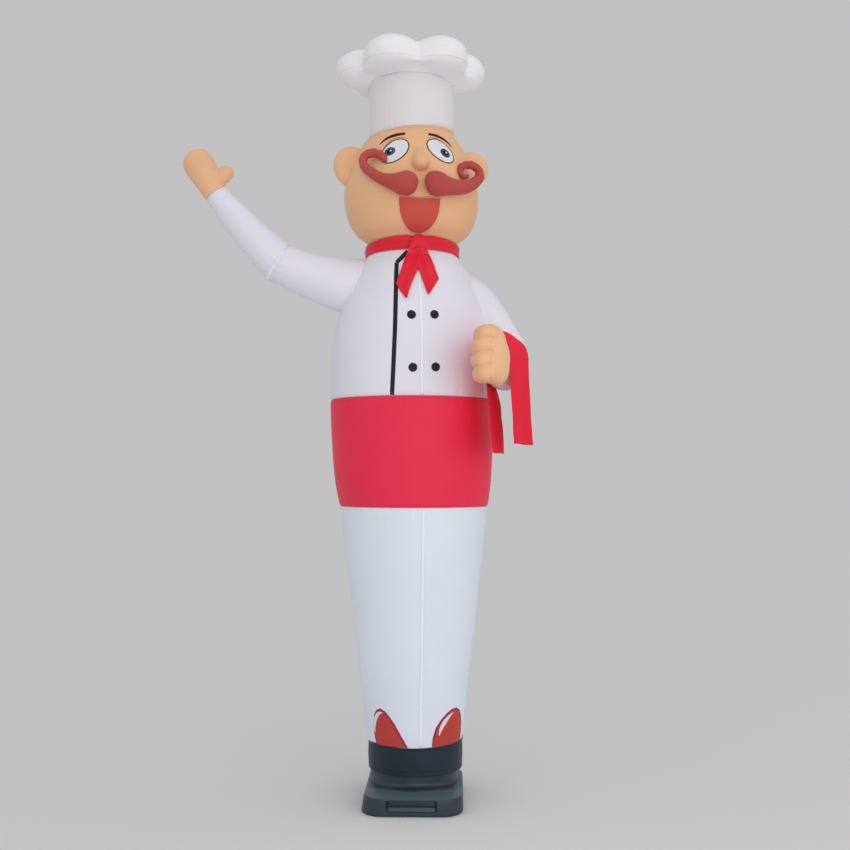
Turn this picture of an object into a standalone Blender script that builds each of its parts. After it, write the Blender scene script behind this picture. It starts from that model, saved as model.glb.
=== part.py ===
"""Inflatable air dancer: a white-dressed cook standing on a black blower.

Metres, +Z up. The figure faces -Y, its raised arm is at -X and its bent arm at +X.
The origin is on the floor, under the middle of the blower. Each inflated piece is one
filled solid; the cuff, the neckerchief and the towel are thin cloth.
"""

from collections import namedtuple
from math import cos, pi, radians, sin, sqrt

import bmesh
import bpy
import numpy as np
from mathutils import Vector

# Clearances between pieces that touch.
GAP = 0.0003
CLOTH_THICKNESS = 0.003
CLOTH_CLEARANCE = 0.002
CUTTER_GAPS = 1.4

# The blower, turned a little on the floor under the tube.
BLOWER_TURN = radians(-9)
BASE_WIDTH = 0.466
BASE_FRONT = -0.34
BASE_BACK = 0.25
BASE_HEIGHT = 0.088
BASE_CORNER = 0.10
RIM_WIDTH = 0.012
DECK_DROP = 0.010
RECESS_WIDTH = 0.226
RECESS_LOW = 0.014
RECESS_HIGH = 0.069
RECESS_DEPTH = 0.045
TOWER_RADIUS = 0.208
TOWER_TOP = 0.281
GLAND_RADIUS = 0.011
GLAND_LENGTH = 0.03
GLAND_HEIGHT = 0.036

# Where the sewn bands of the upright tube meet.
CUFF_BOTTOM = 0.157
CUFF_SIDES = 36
CUFF_SHIFT = 0.004
TROUSERS_BOTTOM = TOWER_TOP + GAP
APRON_BOTTOM = 1.388
JACKET_BOTTOM = 1.890
HEAD_BOTTOM = 2.606
BAND_BOTTOM = 3.147
CROWN_BOTTOM = 3.395
SEAM_PINCH = 0.003

# The upright tube, from the cuff to the hat band.
BodyRow = namedtuple("BodyRow", "height radius lean")
BODY = (
    BodyRow(0.281, 0.2235, 0.004),
    BodyRow(0.650, 0.2675, 0.002),
    BodyRow(1.030, 0.3115, 0.001),
    BodyRow(1.388, 0.3530, 0.000),
    BodyRow(1.511, 0.3715, -0.003),
    BodyRow(1.650, 0.3805, -0.007),
    BodyRow(1.800, 0.3850, -0.011),
    BodyRow(1.950, 0.3850, -0.012),
    BodyRow(2.121, 0.3800, -0.012),
    BodyRow(2.195, 0.3690, -0.011),
    BodyRow(2.326, 0.3380, -0.011),
    BodyRow(2.429, 0.2990, -0.010),
    BodyRow(2.515, 0.2570, -0.008),
    BodyRow(2.574, 0.2150, -0.008),
    BodyRow(2.606, 0.2000, -0.008),
    BodyRow(2.637, 0.2130, -0.008),
    BodyRow(2.660, 0.2430, -0.008),
    BodyRow(2.697, 0.2800, -0.009),
    BodyRow(2.754, 0.3060, -0.010),
    BodyRow(2.810, 0.3170, -0.011),
    BodyRow(2.860, 0.3200, -0.012),
    BodyRow(2.920, 0.3100, -0.012),
    BodyRow(2.980, 0.2900, -0.012),
    BodyRow(3.040, 0.2640, -0.012),
    BodyRow(3.095, 0.2360, -0.012),
    BodyRow(3.147, 0.2020, -0.012),
    BodyRow(3.400, 0.2020, -0.015),
)
BODY_SIDES = 32
TROUSERS_RINGS = 9
APRON_RINGS = 6
JACKET_RINGS = 14
HEAD_RINGS = 16
BAND_RINGS = 4

# The lobed hat crown: its ring of lobes, and each lobe's half width and half height.
CROWN_LOBES = 6
CROWN_RING = 0.228
CROWN_LOBE_HALF_WIDTH = 0.128
CROWN_MIDDLE = 3.464
CROWN_HALF_HEIGHT = 0.089
CROWN_CENTRE_X = -0.015
CROWN_SIDES = 60
CROWN_STEPS = 11
CROWN_DIMPLE = 0.045
CROWN_FOOT_TURN = radians(-125)
CROWN_SWEEP = radians(262)
CROWN_VALLEY_WIDTH = 0.55
CROWN_VALLEY_RING = 0.94
CROWN_VALLEY_HEIGHT = 0.88
CROWN_FULLNESS = 0.7

# Limbs: a centre line with the half width across it and the half depth along Y.
LimbRow = namedtuple("LimbRow", "x y z across deep")
RAISED_ARM = (
    LimbRow(-0.100, 0.000, 2.425, 0.125, 0.125),
    LimbRow(-0.306, 0.000, 2.432, 0.132, 0.130),
    LimbRow(-0.490, 0.000, 2.475, 0.105, 0.105),
    LimbRow(-0.600, 0.000, 2.516, 0.0935, 0.093),
    LimbRow(-0.642, 0.000, 2.536, 0.0925, 0.091),
    LimbRow(-0.682, 0.000, 2.574, 0.0885, 0.088),
    LimbRow(-0.833, 0.000, 2.733, 0.072, 0.070),
    LimbRow(-0.931, 0.000, 2.850, 0.056, 0.054),
    LimbRow(-0.985, 0.000, 2.940, 0.068, 0.060),
    LimbRow(-1.011, 0.000, 2.985, 0.072, 0.060),
    LimbRow(-1.027, 0.000, 3.015, 0.064, 0.052),
    LimbRow(-1.037, 0.000, 3.033, 0.046, 0.038),
    LimbRow(-1.042, 0.000, 3.043, 0.018, 0.016),
)
ELBOW_ROW = 4
WRIST_ROW = 7
RAISED_THUMB = (
    LimbRow(-0.965, -0.006, 2.886, 0.030, 0.030),
    LimbRow(-0.920, -0.010, 2.916, 0.037, 0.034),
    LimbRow(-0.886, -0.012, 2.942, 0.036, 0.034),
    LimbRow(-0.866, -0.013, 2.959, 0.026, 0.025),
    LimbRow(-0.856, -0.013, 2.968, 0.010, 0.010),
)
BENT_ARM = (
    LimbRow(0.174, 0.010, 2.414, 0.105, 0.115),
    LimbRow(0.267, -0.010, 2.362, 0.112, 0.120),
    LimbRow(0.332, -0.045, 2.279, 0.108, 0.115),
    LimbRow(0.375, -0.090, 2.187, 0.106, 0.112),
    LimbRow(0.405, -0.165, 2.100, 0.104, 0.112),
    LimbRow(0.396, -0.265, 2.050, 0.095, 0.122),
    LimbRow(0.352, -0.365, 2.048, 0.084, 0.128),
    LimbRow(0.305, -0.460, 2.050, 0.073, 0.118),
    LimbRow(0.268, -0.540, 2.055, 0.068, 0.098),
)
BENT_FOREARM_ROW = 5
ARM_SIDES = 20
FORWARD = Vector((0, 1, 0))
UPWARD = Vector((0, 0, 1))

# The fist at the end of the bent arm, and its curled fingers, from the top down.
FIST_CENTRE = Vector((0.262, -0.632, 2.052))
FIST_HALF = Vector((0.072, 0.088, 0.124))
FIST_LEAN = 0.14
FIST_SOFTNESS = 0.72
FINGER_X = 0.207
FINGER_Y = -0.652
FingerRow = namedtuple("FingerRow", "z half_width half_height half_depth")
FINGERS = (
    FingerRow(2.126, 0.048, 0.038, 0.070),
    FingerRow(2.074, 0.052, 0.040, 0.078),
    FingerRow(2.018, 0.052, 0.040, 0.078),
    FingerRow(1.966, 0.047, 0.036, 0.068),
)
FINGER_SOFTNESS = 0.78
FIST_GAP = 0.0004

# Ears, nose and moustache.
EAR_HEIGHT = 2.995
EAR_REACH = 0.372
EAR_HALF = Vector((0.092, 0.046, 0.098))
NOSE_HEIGHT = 2.948
NOSE_HALF = Vector((0.037, 0.050, 0.057))
NOSE_SHIFT = 0.004
NOSE_SINK = 0.012
WhiskerRow = namedtuple("WhiskerRow", "x y z half")
LEFT_WHISKER = (
    WhiskerRow(-0.036, -0.338, 2.846, 0.012),
    WhiskerRow(-0.044, -0.342, 2.845, 0.030),
    WhiskerRow(-0.060, -0.346, 2.842, 0.043),
    WhiskerRow(-0.088, -0.346, 2.838, 0.050),
    WhiskerRow(-0.135, -0.328, 2.852, 0.038),
    WhiskerRow(-0.181, -0.300, 2.870, 0.027),
    WhiskerRow(-0.228, -0.266, 2.904, 0.022),
    WhiskerRow(-0.257, -0.240, 2.938, 0.020),
    WhiskerRow(-0.261, -0.228, 2.968, 0.019),
    WhiskerRow(-0.248, -0.228, 2.990, 0.018),
    WhiskerRow(-0.220, -0.236, 2.998, 0.018),
    WhiskerRow(-0.191, -0.250, 2.992, 0.018),
    WhiskerRow(-0.171, -0.262, 2.975, 0.017),
    WhiskerRow(-0.164, -0.270, 2.955, 0.012),
)
RIGHT_WHISKER = (
    WhiskerRow(0.026, -0.336, 2.856, 0.012),
    WhiskerRow(0.034, -0.340, 2.854, 0.030),
    WhiskerRow(0.046, -0.346, 2.850, 0.044),
    WhiskerRow(0.068, -0.348, 2.842, 0.052),
    WhiskerRow(0.114, -0.330, 2.839, 0.041),
    WhiskerRow(0.168, -0.300, 2.842, 0.032),
    WhiskerRow(0.215, -0.268, 2.857, 0.028),
    WhiskerRow(0.250, -0.240, 2.884, 0.025),
    WhiskerRow(0.271, -0.225, 2.915, 0.022),
    WhiskerRow(0.266, -0.220, 2.943, 0.019),
    WhiskerRow(0.241, -0.222, 2.960, 0.017),
    WhiskerRow(0.213, -0.230, 2.960, 0.016),
    WhiskerRow(0.190, -0.243, 2.944, 0.016),
    WhiskerRow(0.186, -0.250, 2.920, 0.014),
    WhiskerRow(0.203, -0.248, 2.906, 0.010),
)
WHISKER_SIDES = 10
WHISKER_RINGS = 26
WHISKER_EASE = 1.25

# The neckerchief: a band round the neck, a knot and two tails on the chest.
SCARF_BOTTOM = 2.573
SCARF_TOP = 2.638
SCARF_RADIUS = 0.2179
SCARF_BULGE = 0.003
SCARF_SIDES = 32
TAIL_REACH = 0.022
KNOT_CENTRE = Vector((-0.004, -0.252, 2.604))
KNOT_HALF = Vector((0.030, 0.0225, 0.040))
TailRow = namedtuple("TailRow", "height left right")
LEFT_TAIL = (
    TailRow(2.590, -0.022, -0.003),
    TailRow(2.540, -0.058, -0.006),
    TailRow(2.467, -0.084, -0.011),
    TailRow(2.396, -0.111, -0.041),
    TailRow(2.328, -0.070, -0.064),
)
RIGHT_TAIL = (
    TailRow(2.590, 0.003, 0.024),
    TailRow(2.540, 0.002, 0.050),
    TailRow(2.467, -0.005, 0.073),
    TailRow(2.423, 0.008, 0.088),
    TailRow(2.350, 0.033, 0.039),
)
TAIL_PER_ROW = 3
TAIL_CLEARANCE = 0.0037
TAIL_COLUMNS = 5
TAIL_FOLD = 0.003

# The towel over the bent forearm. It hugs the sleeve between two of its places, which
# are shares of the forearm's length, and its tails hang down from there. A tail's row
# gives how far its two edges have swung out at that drop.
TOWEL_NEAR_SHARE = 0.72
TOWEL_FAR_SHARE = 0.00
TOWEL_TOP_SHARE = 0.24
TOWEL_INNER_FAR_SHARE = 0.16
TOWEL_OUTER_TURN = radians(-8)
TOWEL_INNER_TURN = radians(236)
TOWEL_ARC_STEPS = 16
TowelRow = namedtuple("TowelRow", "drop near_x near_y far_x far_y ripple")
OUTER_TAIL = (
    TowelRow(0.090, 0.001, 0.000, 0.003, 0.002, 0.002),
    TowelRow(0.180, 0.003, 0.000, 0.007, 0.004, 0.005),
    TowelRow(0.270, 0.007, -0.002, 0.012, 0.006, 0.008),
    TowelRow(0.362, 0.012, -0.004, 0.018, 0.008, 0.010),
)
INNER_TAIL = (
    TowelRow(0.080, 0.012, -0.004, 0.012, -0.004, 0.002),
    TowelRow(0.155, 0.019, -0.008, 0.019, -0.008, 0.005),
    TowelRow(0.230, 0.026, -0.010, 0.026, -0.010, 0.008),
    TowelRow(0.303, 0.032, -0.012, 0.032, -0.012, 0.010),
)
TOWEL_FOLDS = 2.5
TOWEL_ACROSS = 8
TOWEL_ROWS = 36
TOWEL_EASE = 0.0002
TOWEL_FOLD_START = 0.6

BodyFinish = namedtuple("BodyFinish", "colour roughness metallic")
FINISHES = {
    "white_fabric": BodyFinish((0.70, 0.70, 0.78), 0.55, 0.0),
    "red_fabric": BodyFinish((0.72, 0.03, 0.06), 0.60, 0.0),
    "skin_fabric": BodyFinish((0.72, 0.42, 0.24), 0.55, 0.0),
    "whisker_fabric": BodyFinish((0.45, 0.07, 0.06), 0.60, 0.0),
    "black_fabric": BodyFinish((0.015, 0.022, 0.032), 0.60, 0.0),
    "black_plastic": BodyFinish((0.025, 0.037, 0.045), 0.45, 0.0),
}


def clear_scene():
    for obj in list(bpy.data.objects):
        bpy.data.objects.remove(obj)


def finish(name, kind):
    look = FINISHES[kind]
    material = bpy.data.materials.new(name)
    material.use_nodes = True
    shader = material.node_tree.nodes["Principled BSDF"]
    shader.inputs["Base Color"].default_value = (*look.colour, 1.0)
    shader.inputs["Roughness"].default_value = look.roughness
    shader.inputs["Metallic"].default_value = look.metallic
    return material


def object_from(name, bm, kind):
    """A smooth-shaded object from a closed bmesh, with its faces turned outwards."""
    bmesh.ops.recalc_face_normals(bm, faces=bm.faces)
    mesh = bpy.data.meshes.new(name)
    bm.to_mesh(mesh)
    bm.free()
    mesh.shade_smooth()
    mesh.set_sharp_from_angle(angle=radians(35))
    obj = bpy.data.objects.new(name, mesh)
    bpy.context.scene.collection.objects.link(obj)
    if kind:
        mesh.materials.append(finish(name, kind))
    return obj


def as_cutter(obj):
    obj.hide_render = True
    obj.display_type = "WIRE"
    return obj


def boolean(obj, other, operation="DIFFERENCE"):
    modifier = obj.modifiers.new(operation.lower(), "BOOLEAN")
    modifier.operation = operation
    modifier.object = other


def skin(rings):
    """A closed bmesh over a row of rings that all have the same number of points."""
    bm = bmesh.new()
    loops = [[bm.verts.new(point) for point in ring] for ring in rings]
    for lower, upper in zip(loops, loops[1:]):
        for i in range(len(lower)):
            j = (i + 1) % len(lower)
            bm.faces.new((lower[i], lower[j], upper[j], upper[i]))
    bm.faces.new(loops[0][::-1])
    bm.faces.new(loops[-1])
    return bm


def even_slopes(values, keys):
    """Slopes that never overshoot between two values, for a turned profile."""
    steps = np.diff(values, axis=0) / np.diff(keys)[:, None]
    before, after = steps[:-1], steps[1:]
    total = before + after
    total[total == 0] = 1.0
    inner = np.where(before * after > 0, 2 * before * after / total, 0.0)
    return np.concatenate([steps[:1], inner, steps[-1:]])


def smooth_curve(keys, values, at, even=False):
    """Values at the places asked for, on a cubic curve through the given ones."""
    keys = np.asarray(keys, float)
    values = np.asarray(values, float)
    slopes = even_slopes(values, keys) if even else np.gradient(values, keys, axis=0)
    found = []
    for place in at:
        i = int(np.clip(np.searchsorted(keys, place) - 1, 0, len(keys) - 2))
        span = keys[i + 1] - keys[i]
        t = (place - keys[i]) / span
        start = (1 + 2 * t) * (1 - t) ** 2 * values[i] + t * (1 - t) ** 2 * span * slopes[i]
        end = t * t * (3 - 2 * t) * values[i + 1] + t * t * (t - 1) * span * slopes[i + 1]
        found.append(start + end)
    return np.array(found)


def body_at(height):
    heights = [row.height for row in BODY]
    shape = [(row.radius, row.lean) for row in BODY]
    return smooth_curve(heights, shape, [height], even=True)[0]


def body_ring(height, extra=0.0, sides=BODY_SIDES):
    radius, lean = body_at(height)
    turns = [2 * pi * i / sides for i in range(sides)]
    reach = radius + extra
    return [Vector((lean + reach * cos(a), reach * sin(a), height)) for a in turns]


def band_rings(low, high, count, extra=0.0):
    """Rings of one sewn band of the upright tube, drawn in a little at its two seams."""
    rings = []
    for i, height in enumerate(np.linspace(low, high, count)):
        pinch = SEAM_PINCH if i in (0, count - 1) else 0.0
        rings.append(body_ring(height, extra - pinch))
    return rings


def body_band(name, low, high, count, kind):
    return object_from(name, skin(band_rings(low, high, count)), kind)


def body_cutter(name, low, high, count):
    """The same band, larger by the gap that a piece sewn on it keeps."""
    rings = band_rings(low, high, count, GAP * CUTTER_GAPS)
    return as_cutter(object_from(name, skin(rings), None))


def path_keys(points):
    steps = np.linalg.norm(np.diff(points, axis=0), axis=1)
    return np.concatenate([[0.0], np.cumsum(steps)])


def limb_line(rows, per_row):
    """Centres, directions and half sizes along a limb, with rings from each of its rows
    to the next."""
    points = np.array([(row.x, row.y, row.z) for row in rows])
    halves = np.array([(row.across, row.deep) for row in rows])
    keys = path_keys(points)
    at = np.interp(np.arange((len(rows) - 1) * per_row + 1) / per_row, np.arange(len(rows)), keys)
    line = smooth_curve(keys, points, at)
    sizes = smooth_curve(keys, halves, at)
    ways = np.gradient(line, at, axis=0)
    return [Vector(p) for p in line], [Vector(w).normalized() for w in ways], sizes


def ring_across(centre, way, half_side, half_up, up, sides):
    side = way.cross(up).normalized()
    top = side.cross(way).normalized()
    turns = [2 * pi * i / sides for i in range(sides)]
    return [centre + side * half_side * cos(a) + top * half_up * sin(a) for a in turns]


def carried_ups(ways, up):
    """The upward direction at each ring, carried back from the last one without twist."""
    ups = [up - ways[-1] * up.dot(ways[-1])]
    for way in reversed(ways[:-1]):
        ups.append(ups[-1] - way * ups[-1].dot(way))
    return [up.normalized() for up in reversed(ups)]


def limb(name, rows, kind, up, first=0, last=None, per_row=2, sides=ARM_SIDES, grow=0.0):
    """A tube along a limb, from one of its rows to another. It starts a gap further on,
    so that it stays clear of the piece before it."""
    line, ways, sizes = limb_line(rows, per_row)
    ups = carried_ups(ways, up)
    start = first * per_row
    end = (len(rows) - 1 if last is None else last) * per_row
    rings = []
    for i in range(start, end + 1):
        centre = line[i] + ways[i] * (GAP if i == start else grow if i == end else 0.0)
        drawn = grow - (SEAM_PINCH if i in (start, end) and not grow else 0.0)
        rings.append(
            ring_across(centre, ways[i], sizes[i][0] + drawn, sizes[i][1] + drawn, ups[i], sides)
        )
    return object_from(name, skin(rings), kind)


def ellipsoid(name, centre, half, kind, across=20, along=12, power=1.0):
    """A rounded lump about its centre. A power under 1 makes it boxier."""

    def eased(value):
        return abs(value) ** power * (1 if value >= 0 else -1)

    bm = bmesh.new()
    bmesh.ops.create_uvsphere(bm, u_segments=across, v_segments=along, radius=1.0)
    for vert in bm.verts:
        spot = vert.co
        flat = sqrt(max(spot.x**2 + spot.y**2, 1e-12))
        x, y = eased(spot.x / flat), eased(spot.y / flat)
        ring = eased(flat)
        vert.co = Vector((centre.x + half.x * x * ring, centre.y + half.y * y * ring,
                          centre.z + half.z * eased(spot.z)))
    return object_from(name, bm, kind)


def blower_frame():
    frame = bpy.data.objects.new("blower_frame", None)
    bpy.context.scene.collection.objects.link(frame)
    frame.rotation_euler.z = BLOWER_TURN
    return frame


def rounded_outline(inset, height, steps=6):
    """The base's outline, drawn in by an inset."""
    middle_y = (BASE_FRONT + BASE_BACK) / 2
    corner = BASE_CORNER - inset / 2
    half_x = BASE_WIDTH / 2 - inset - corner
    half_y = (BASE_BACK - BASE_FRONT) / 2 - inset - corner
    points = []
    for quarter in range(4):
        sign_x = 1 if quarter in (0, 3) else -1
        sign_y = 1 if quarter in (0, 1) else -1
        for i in range(steps + 1):
            turn = pi / 2 * (quarter + i / steps)
            x = sign_x * half_x + corner * cos(turn)
            y = middle_y + sign_y * half_y + corner * sin(turn)
            points.append(Vector((x, y, height)))
    return points


def blower_base(frame):
    """The moulded foot: a rounded slab with a rim round its deck, and a hand recess."""
    profile = (
        (0.008, 0.000),
        (0.000, 0.008),
        (0.000, BASE_HEIGHT * 0.70),
        (RIM_WIDTH * 0.25, BASE_HEIGHT * 0.92),
        (RIM_WIDTH * 0.90, BASE_HEIGHT),
        (RIM_WIDTH * 1.40, BASE_HEIGHT - 0.002),
        (RIM_WIDTH * 1.80, BASE_HEIGHT - DECK_DROP),
    )
    rings = [rounded_outline(inset, height) for inset, height in profile]
    base = object_from("blower_base", skin(rings), "black_plastic")
    base.parent = frame
    boolean(base, recess_cutter(frame))
    return base


def recess_cutter(frame):
    """A hand recess with a floor that slopes up towards its back."""
    half = RECESS_WIDTH / 2
    corners = (
        (BASE_FRONT - 0.02, RECESS_LOW - 0.005),
        (BASE_FRONT + RECESS_DEPTH, RECESS_LOW + 0.012),
        (BASE_FRONT + RECESS_DEPTH, RECESS_HIGH),
        (BASE_FRONT - 0.02, RECESS_HIGH),
    )
    rings = [[Vector((x, y, z)) for y, z in corners] for x in (-half, half)]
    cutter = as_cutter(object_from("recess_cutter", skin(rings), None))
    bevel = cutter.modifiers.new("soft_corners", "BEVEL")
    bevel.width = 0.008
    bevel.segments = 2
    cutter.parent = frame
    return cutter


def blower_tower(frame):
    """The round outlet that the tube is tied to."""
    foot = BASE_HEIGHT - DECK_DROP + GAP
    profile = (
        (TOWER_RADIUS + 0.002, foot),
        (TOWER_RADIUS + 0.001, foot + 0.004),
        (TOWER_RADIUS, foot + 0.008),
        (TOWER_RADIUS, CUFF_BOTTOM),
        (TOWER_RADIUS - 0.001, TOWER_TOP - 0.030),
        (TOWER_RADIUS - 0.001, TOWER_TOP),
    )
    sides = 48
    turns = [2 * pi * i / sides for i in range(sides)]
    rings = [[Vector((r * cos(a), r * sin(a), z)) for a in turns] for r, z in profile]
    tower = object_from("blower_tower", skin(rings), "black_plastic")
    tower.parent = frame
    return tower


def cable_gland(frame):
    sides = 12
    start = BASE_BACK + GAP
    turns = [2 * pi * i / sides for i in range(sides)]
    profile = (
        (GLAND_RADIUS * 1.5, 0.0),
        (GLAND_RADIUS * 1.5, 0.006),
        (GLAND_RADIUS, 0.0075),
        (GLAND_RADIUS * 0.8, GLAND_LENGTH),
    )
    rings = [
        [Vector((r * cos(a), start + y, GLAND_HEIGHT + r * sin(a))) for a in turns]
        for r, y in profile
    ]
    gland = object_from("cable_gland", skin(rings), "black_plastic")
    gland.parent = frame
    return gland


def ring_of_cloth(name, section, sides, centre_x, kind):
    """A closed hoop of cloth from one closed section of (radius, height) points."""
    bm = bmesh.new()
    loops = []
    for i in range(sides):
        a = 2 * pi * i / sides
        loops.append([bm.verts.new((centre_x + r * cos(a), r * sin(a), z)) for r, z in section])
    for i in range(sides):
        here, there = loops[i], loops[(i + 1) % sides]
        for j in range(len(section)):
            k = (j + 1) % len(section)
            bm.faces.new((here[j], there[j], there[k], here[k]))
    return object_from(name, bm, kind)


def cuff():
    """The sewn strap band that ties the tube round the tower."""
    inner = TOWER_RADIUS + CLOTH_CLEARANCE / 2
    outer = inner + CLOTH_THICKNESS
    top = TOWER_TOP - GAP
    middle = (CUFF_BOTTOM + top) / 2
    outside = (
        (outer + 0.009, CUFF_BOTTOM),
        (outer + 0.010, CUFF_BOTTOM + 0.02),
        (outer + 0.010, middle),
        (outer + 0.009, top - 0.012),
        (outer + 0.007, top),
    )
    inside = [(radius - CLOTH_THICKNESS, height) for radius, height in reversed(outside)]
    return ring_of_cloth("cuff", list(outside) + inside, CUFF_SIDES, CUFF_SHIFT, "black_fabric")


def scarf_band():
    middle = (SCARF_BOTTOM + SCARF_TOP) / 2
    outside = (
        (SCARF_RADIUS + CLOTH_THICKNESS, SCARF_BOTTOM),
        (SCARF_RADIUS + CLOTH_THICKNESS + SCARF_BULGE, middle - 0.012),
        (SCARF_RADIUS + CLOTH_THICKNESS + SCARF_BULGE, middle + 0.012),
        (SCARF_RADIUS + CLOTH_THICKNESS, SCARF_TOP),
    )
    inside = [(radius - CLOTH_THICKNESS, height) for radius, height in reversed(outside)]
    lean = body_at(HEAD_BOTTOM)[1]
    return ring_of_cloth("scarf_band", list(outside) + inside, SCARF_SIDES, lean, "red_fabric")


def tail_point(arc, height, out):
    radius, lean = body_at(height)
    reach = max(radius + TAIL_CLEARANCE, SCARF_RADIUS + TAIL_REACH)
    turn = arc / reach
    return Vector((lean + (reach + out) * sin(turn), -(reach + out) * cos(turn), height))


def scarf_tail(name, rows, knot):
    """A tail of the neckerchief, cut slantwise at its end, lying on the chest."""
    places = np.arange((len(rows) - 1) * TAIL_PER_ROW + 1) / TAIL_PER_ROW
    known = np.arange(len(rows))
    heights = np.interp(places, known, [row.height for row in rows])
    lefts = np.interp(places, known, [row.left for row in rows])
    rights = np.interp(places, known, [row.right for row in rows])
    columns = np.linspace(0, 1, TAIL_COLUMNS)
    rings = []
    for height, left, right in zip(heights, lefts, rights):
        arcs = [left + (right - left) * column for column in columns]
        folds = [TAIL_FOLD * cos(2 * pi * column) for column in columns]
        back = [tail_point(arc, height, fold) for arc, fold in zip(arcs, folds)]
        front = [
            tail_point(arc, height, fold + CLOTH_THICKNESS) for arc, fold in zip(arcs, folds)
        ]
        rings.append(back + front[::-1])
    tail = object_from(name, skin(rings), "red_fabric")
    boolean(tail, knot)
    return tail


def crown_point(angle, share):
    """A point of the crown, from its foot, 0, round its lobes to the dimple's edge, 1."""
    lobe = abs(sin(CROWN_LOBES / 2 * (angle + pi / 2))) ** CROWN_FULLNESS
    turn = CROWN_FOOT_TURN + CROWN_SWEEP * share
    width = CROWN_LOBE_HALF_WIDTH * (CROWN_VALLEY_WIDTH + (1 - CROWN_VALLEY_WIDTH) * lobe)
    ring = CROWN_RING * (CROWN_VALLEY_RING + (1 - CROWN_VALLEY_RING) * lobe)
    half = CROWN_HALF_HEIGHT * (CROWN_VALLEY_HEIGHT + (1 - CROWN_VALLEY_HEIGHT) * lobe)
    reach = ring + width * cos(turn)
    return Vector((
        CROWN_CENTRE_X + reach * cos(angle),
        reach * sin(angle),
        CROWN_MIDDLE + half * sin(turn),
    ))


def hat_crown():
    """Five puffed lobes drawn in to the top of the hat band."""
    foot = body_at(CROWN_BOTTOM)[0] + 0.002
    angles = [2 * pi * i / CROWN_SIDES for i in range(CROWN_SIDES)]
    centre = Vector((CROWN_CENTRE_X, 0, 0))
    rings = [[centre + Vector((foot * cos(a), foot * sin(a), CROWN_BOTTOM)) for a in angles]]
    for step in range(1, CROWN_STEPS + 1):
        rings.append([crown_point(a, step / CROWN_STEPS) for a in angles])
    top = CROWN_MIDDLE + CROWN_HALF_HEIGHT - CROWN_DIMPLE
    middle = Vector((CROWN_CENTRE_X, 0, top))
    rings.append([middle.lerp(Vector((p.x, p.y, top)), 0.4) for p in rings[-1]])
    return object_from("hat_crown", skin(rings), "white_fabric")


def raised_hand():
    palm = limb("hand_raised", RAISED_ARM, "skin_fabric", FORWARD, WRIST_ROW)
    thumb = limb("thumb_guide", RAISED_THUMB, None, FORWARD, sides=12)
    boolean(palm, as_cutter(thumb), "UNION")
    return palm


def fist(sleeve_end):
    body = ellipsoid("fist", FIST_CENTRE, FIST_HALF, "skin_fabric", 20, 12, FIST_SOFTNESS)
    for vert in body.data.vertices:
        vert.co.x -= FIST_LEAN * max(0.0, vert.co.z - FIST_CENTRE.z)
    for i, row in enumerate(FINGERS):
        half = Vector((row.half_width, row.half_depth, row.half_height))
        centre = Vector((FINGER_X, FINGER_Y, row.z))
        finger = ellipsoid(f"finger_guide_{i + 1}", centre, half, None, 14, 8, FINGER_SOFTNESS)
        boolean(body, as_cutter(finger), "UNION")
    boolean(body, sleeve_end)
    return body


def ear(name, side, head):
    centre = Vector((body_at(EAR_HEIGHT)[1] + side * (EAR_REACH - EAR_HALF.x), 0.0, EAR_HEIGHT))
    piece = ellipsoid(name, centre, EAR_HALF, "skin_fabric", 18, 12)
    boolean(piece, head)
    return piece


def nose(head):
    radius, lean = body_at(NOSE_HEIGHT)
    centre = Vector((lean + NOSE_SHIFT, -(radius + NOSE_SINK), NOSE_HEIGHT))
    piece = ellipsoid("nose", centre, NOSE_HALF, "skin_fabric", 16, 12)
    boolean(piece, head)
    return piece


def whisker(name, rows, head):
    """One stuffed half of the moustache, laid on the face and curled up at its end."""
    points = np.array([(row.x, row.y, row.z) for row in rows])
    keys = path_keys(points)
    at = np.linspace(0, 1, WHISKER_RINGS) ** WHISKER_EASE * keys[-1]
    line = smooth_curve(keys, points, at)
    halves = smooth_curve(keys, [row.half for row in rows], at)
    ways = np.gradient(line, at, axis=0)
    rings = []
    for centre, half, way in zip(line, halves, ways):
        out = Vector((centre[0], centre[1], 0)).normalized()
        way = Vector(way).normalized()
        rings.append(ring_across(Vector(centre), way, half, half * 0.9, out, WHISKER_SIDES))
    piece = object_from(name, skin(rings), "whisker_fabric")
    boolean(piece, head)
    return piece


def towel_arc_point(turn, share):
    """A point of the towel on the sleeve, at a turn round it. The share runs from the
    edge near the fist, 0, to the edge near the elbow, 1."""
    line, ways, sizes = limb_line(BENT_ARM, TOWEL_ARC_STEPS)
    inner = max(0.0, -cos(turn))
    far = TOWEL_FAR_SHARE * (1 - inner) + TOWEL_INNER_FAR_SHARE * inner
    far = max(far, TOWEL_TOP_SHARE * max(0.0, sin(turn)))
    along = TOWEL_NEAR_SHARE + (far - TOWEL_NEAR_SHARE) * share
    first = BENT_FOREARM_ROW * TOWEL_ARC_STEPS
    i = first + round(along * (len(line) - 1 - first))
    side = ways[i].cross(Vector((0, 0, 1))).normalized()
    outward = side if side.x > 0 else -side
    clear = CLOTH_CLEARANCE + CLOTH_THICKNESS / 2 + TOWEL_EASE
    reach = Vector((sizes[i][0] + clear, sizes[i][1] + clear))
    return line[i] + outward * reach.x * cos(turn) + Vector((0, 0, reach.y * sin(turn)))


def tail_edges(rows, turn):
    """The near and far edge of a hanging tail at each of its rows, from the top down."""
    near = towel_arc_point(turn, 0.0)
    far = towel_arc_point(turn, 1.0)
    low = min(near.z, far.z)
    found = []
    for row in rows:
        found.append((
            Vector((near.x + row.near_x, near.y + row.near_y, low - row.drop)),
            Vector((far.x + row.far_x, far.y + row.far_y, low - row.drop)),
            row.ripple,
        ))
    return found


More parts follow.
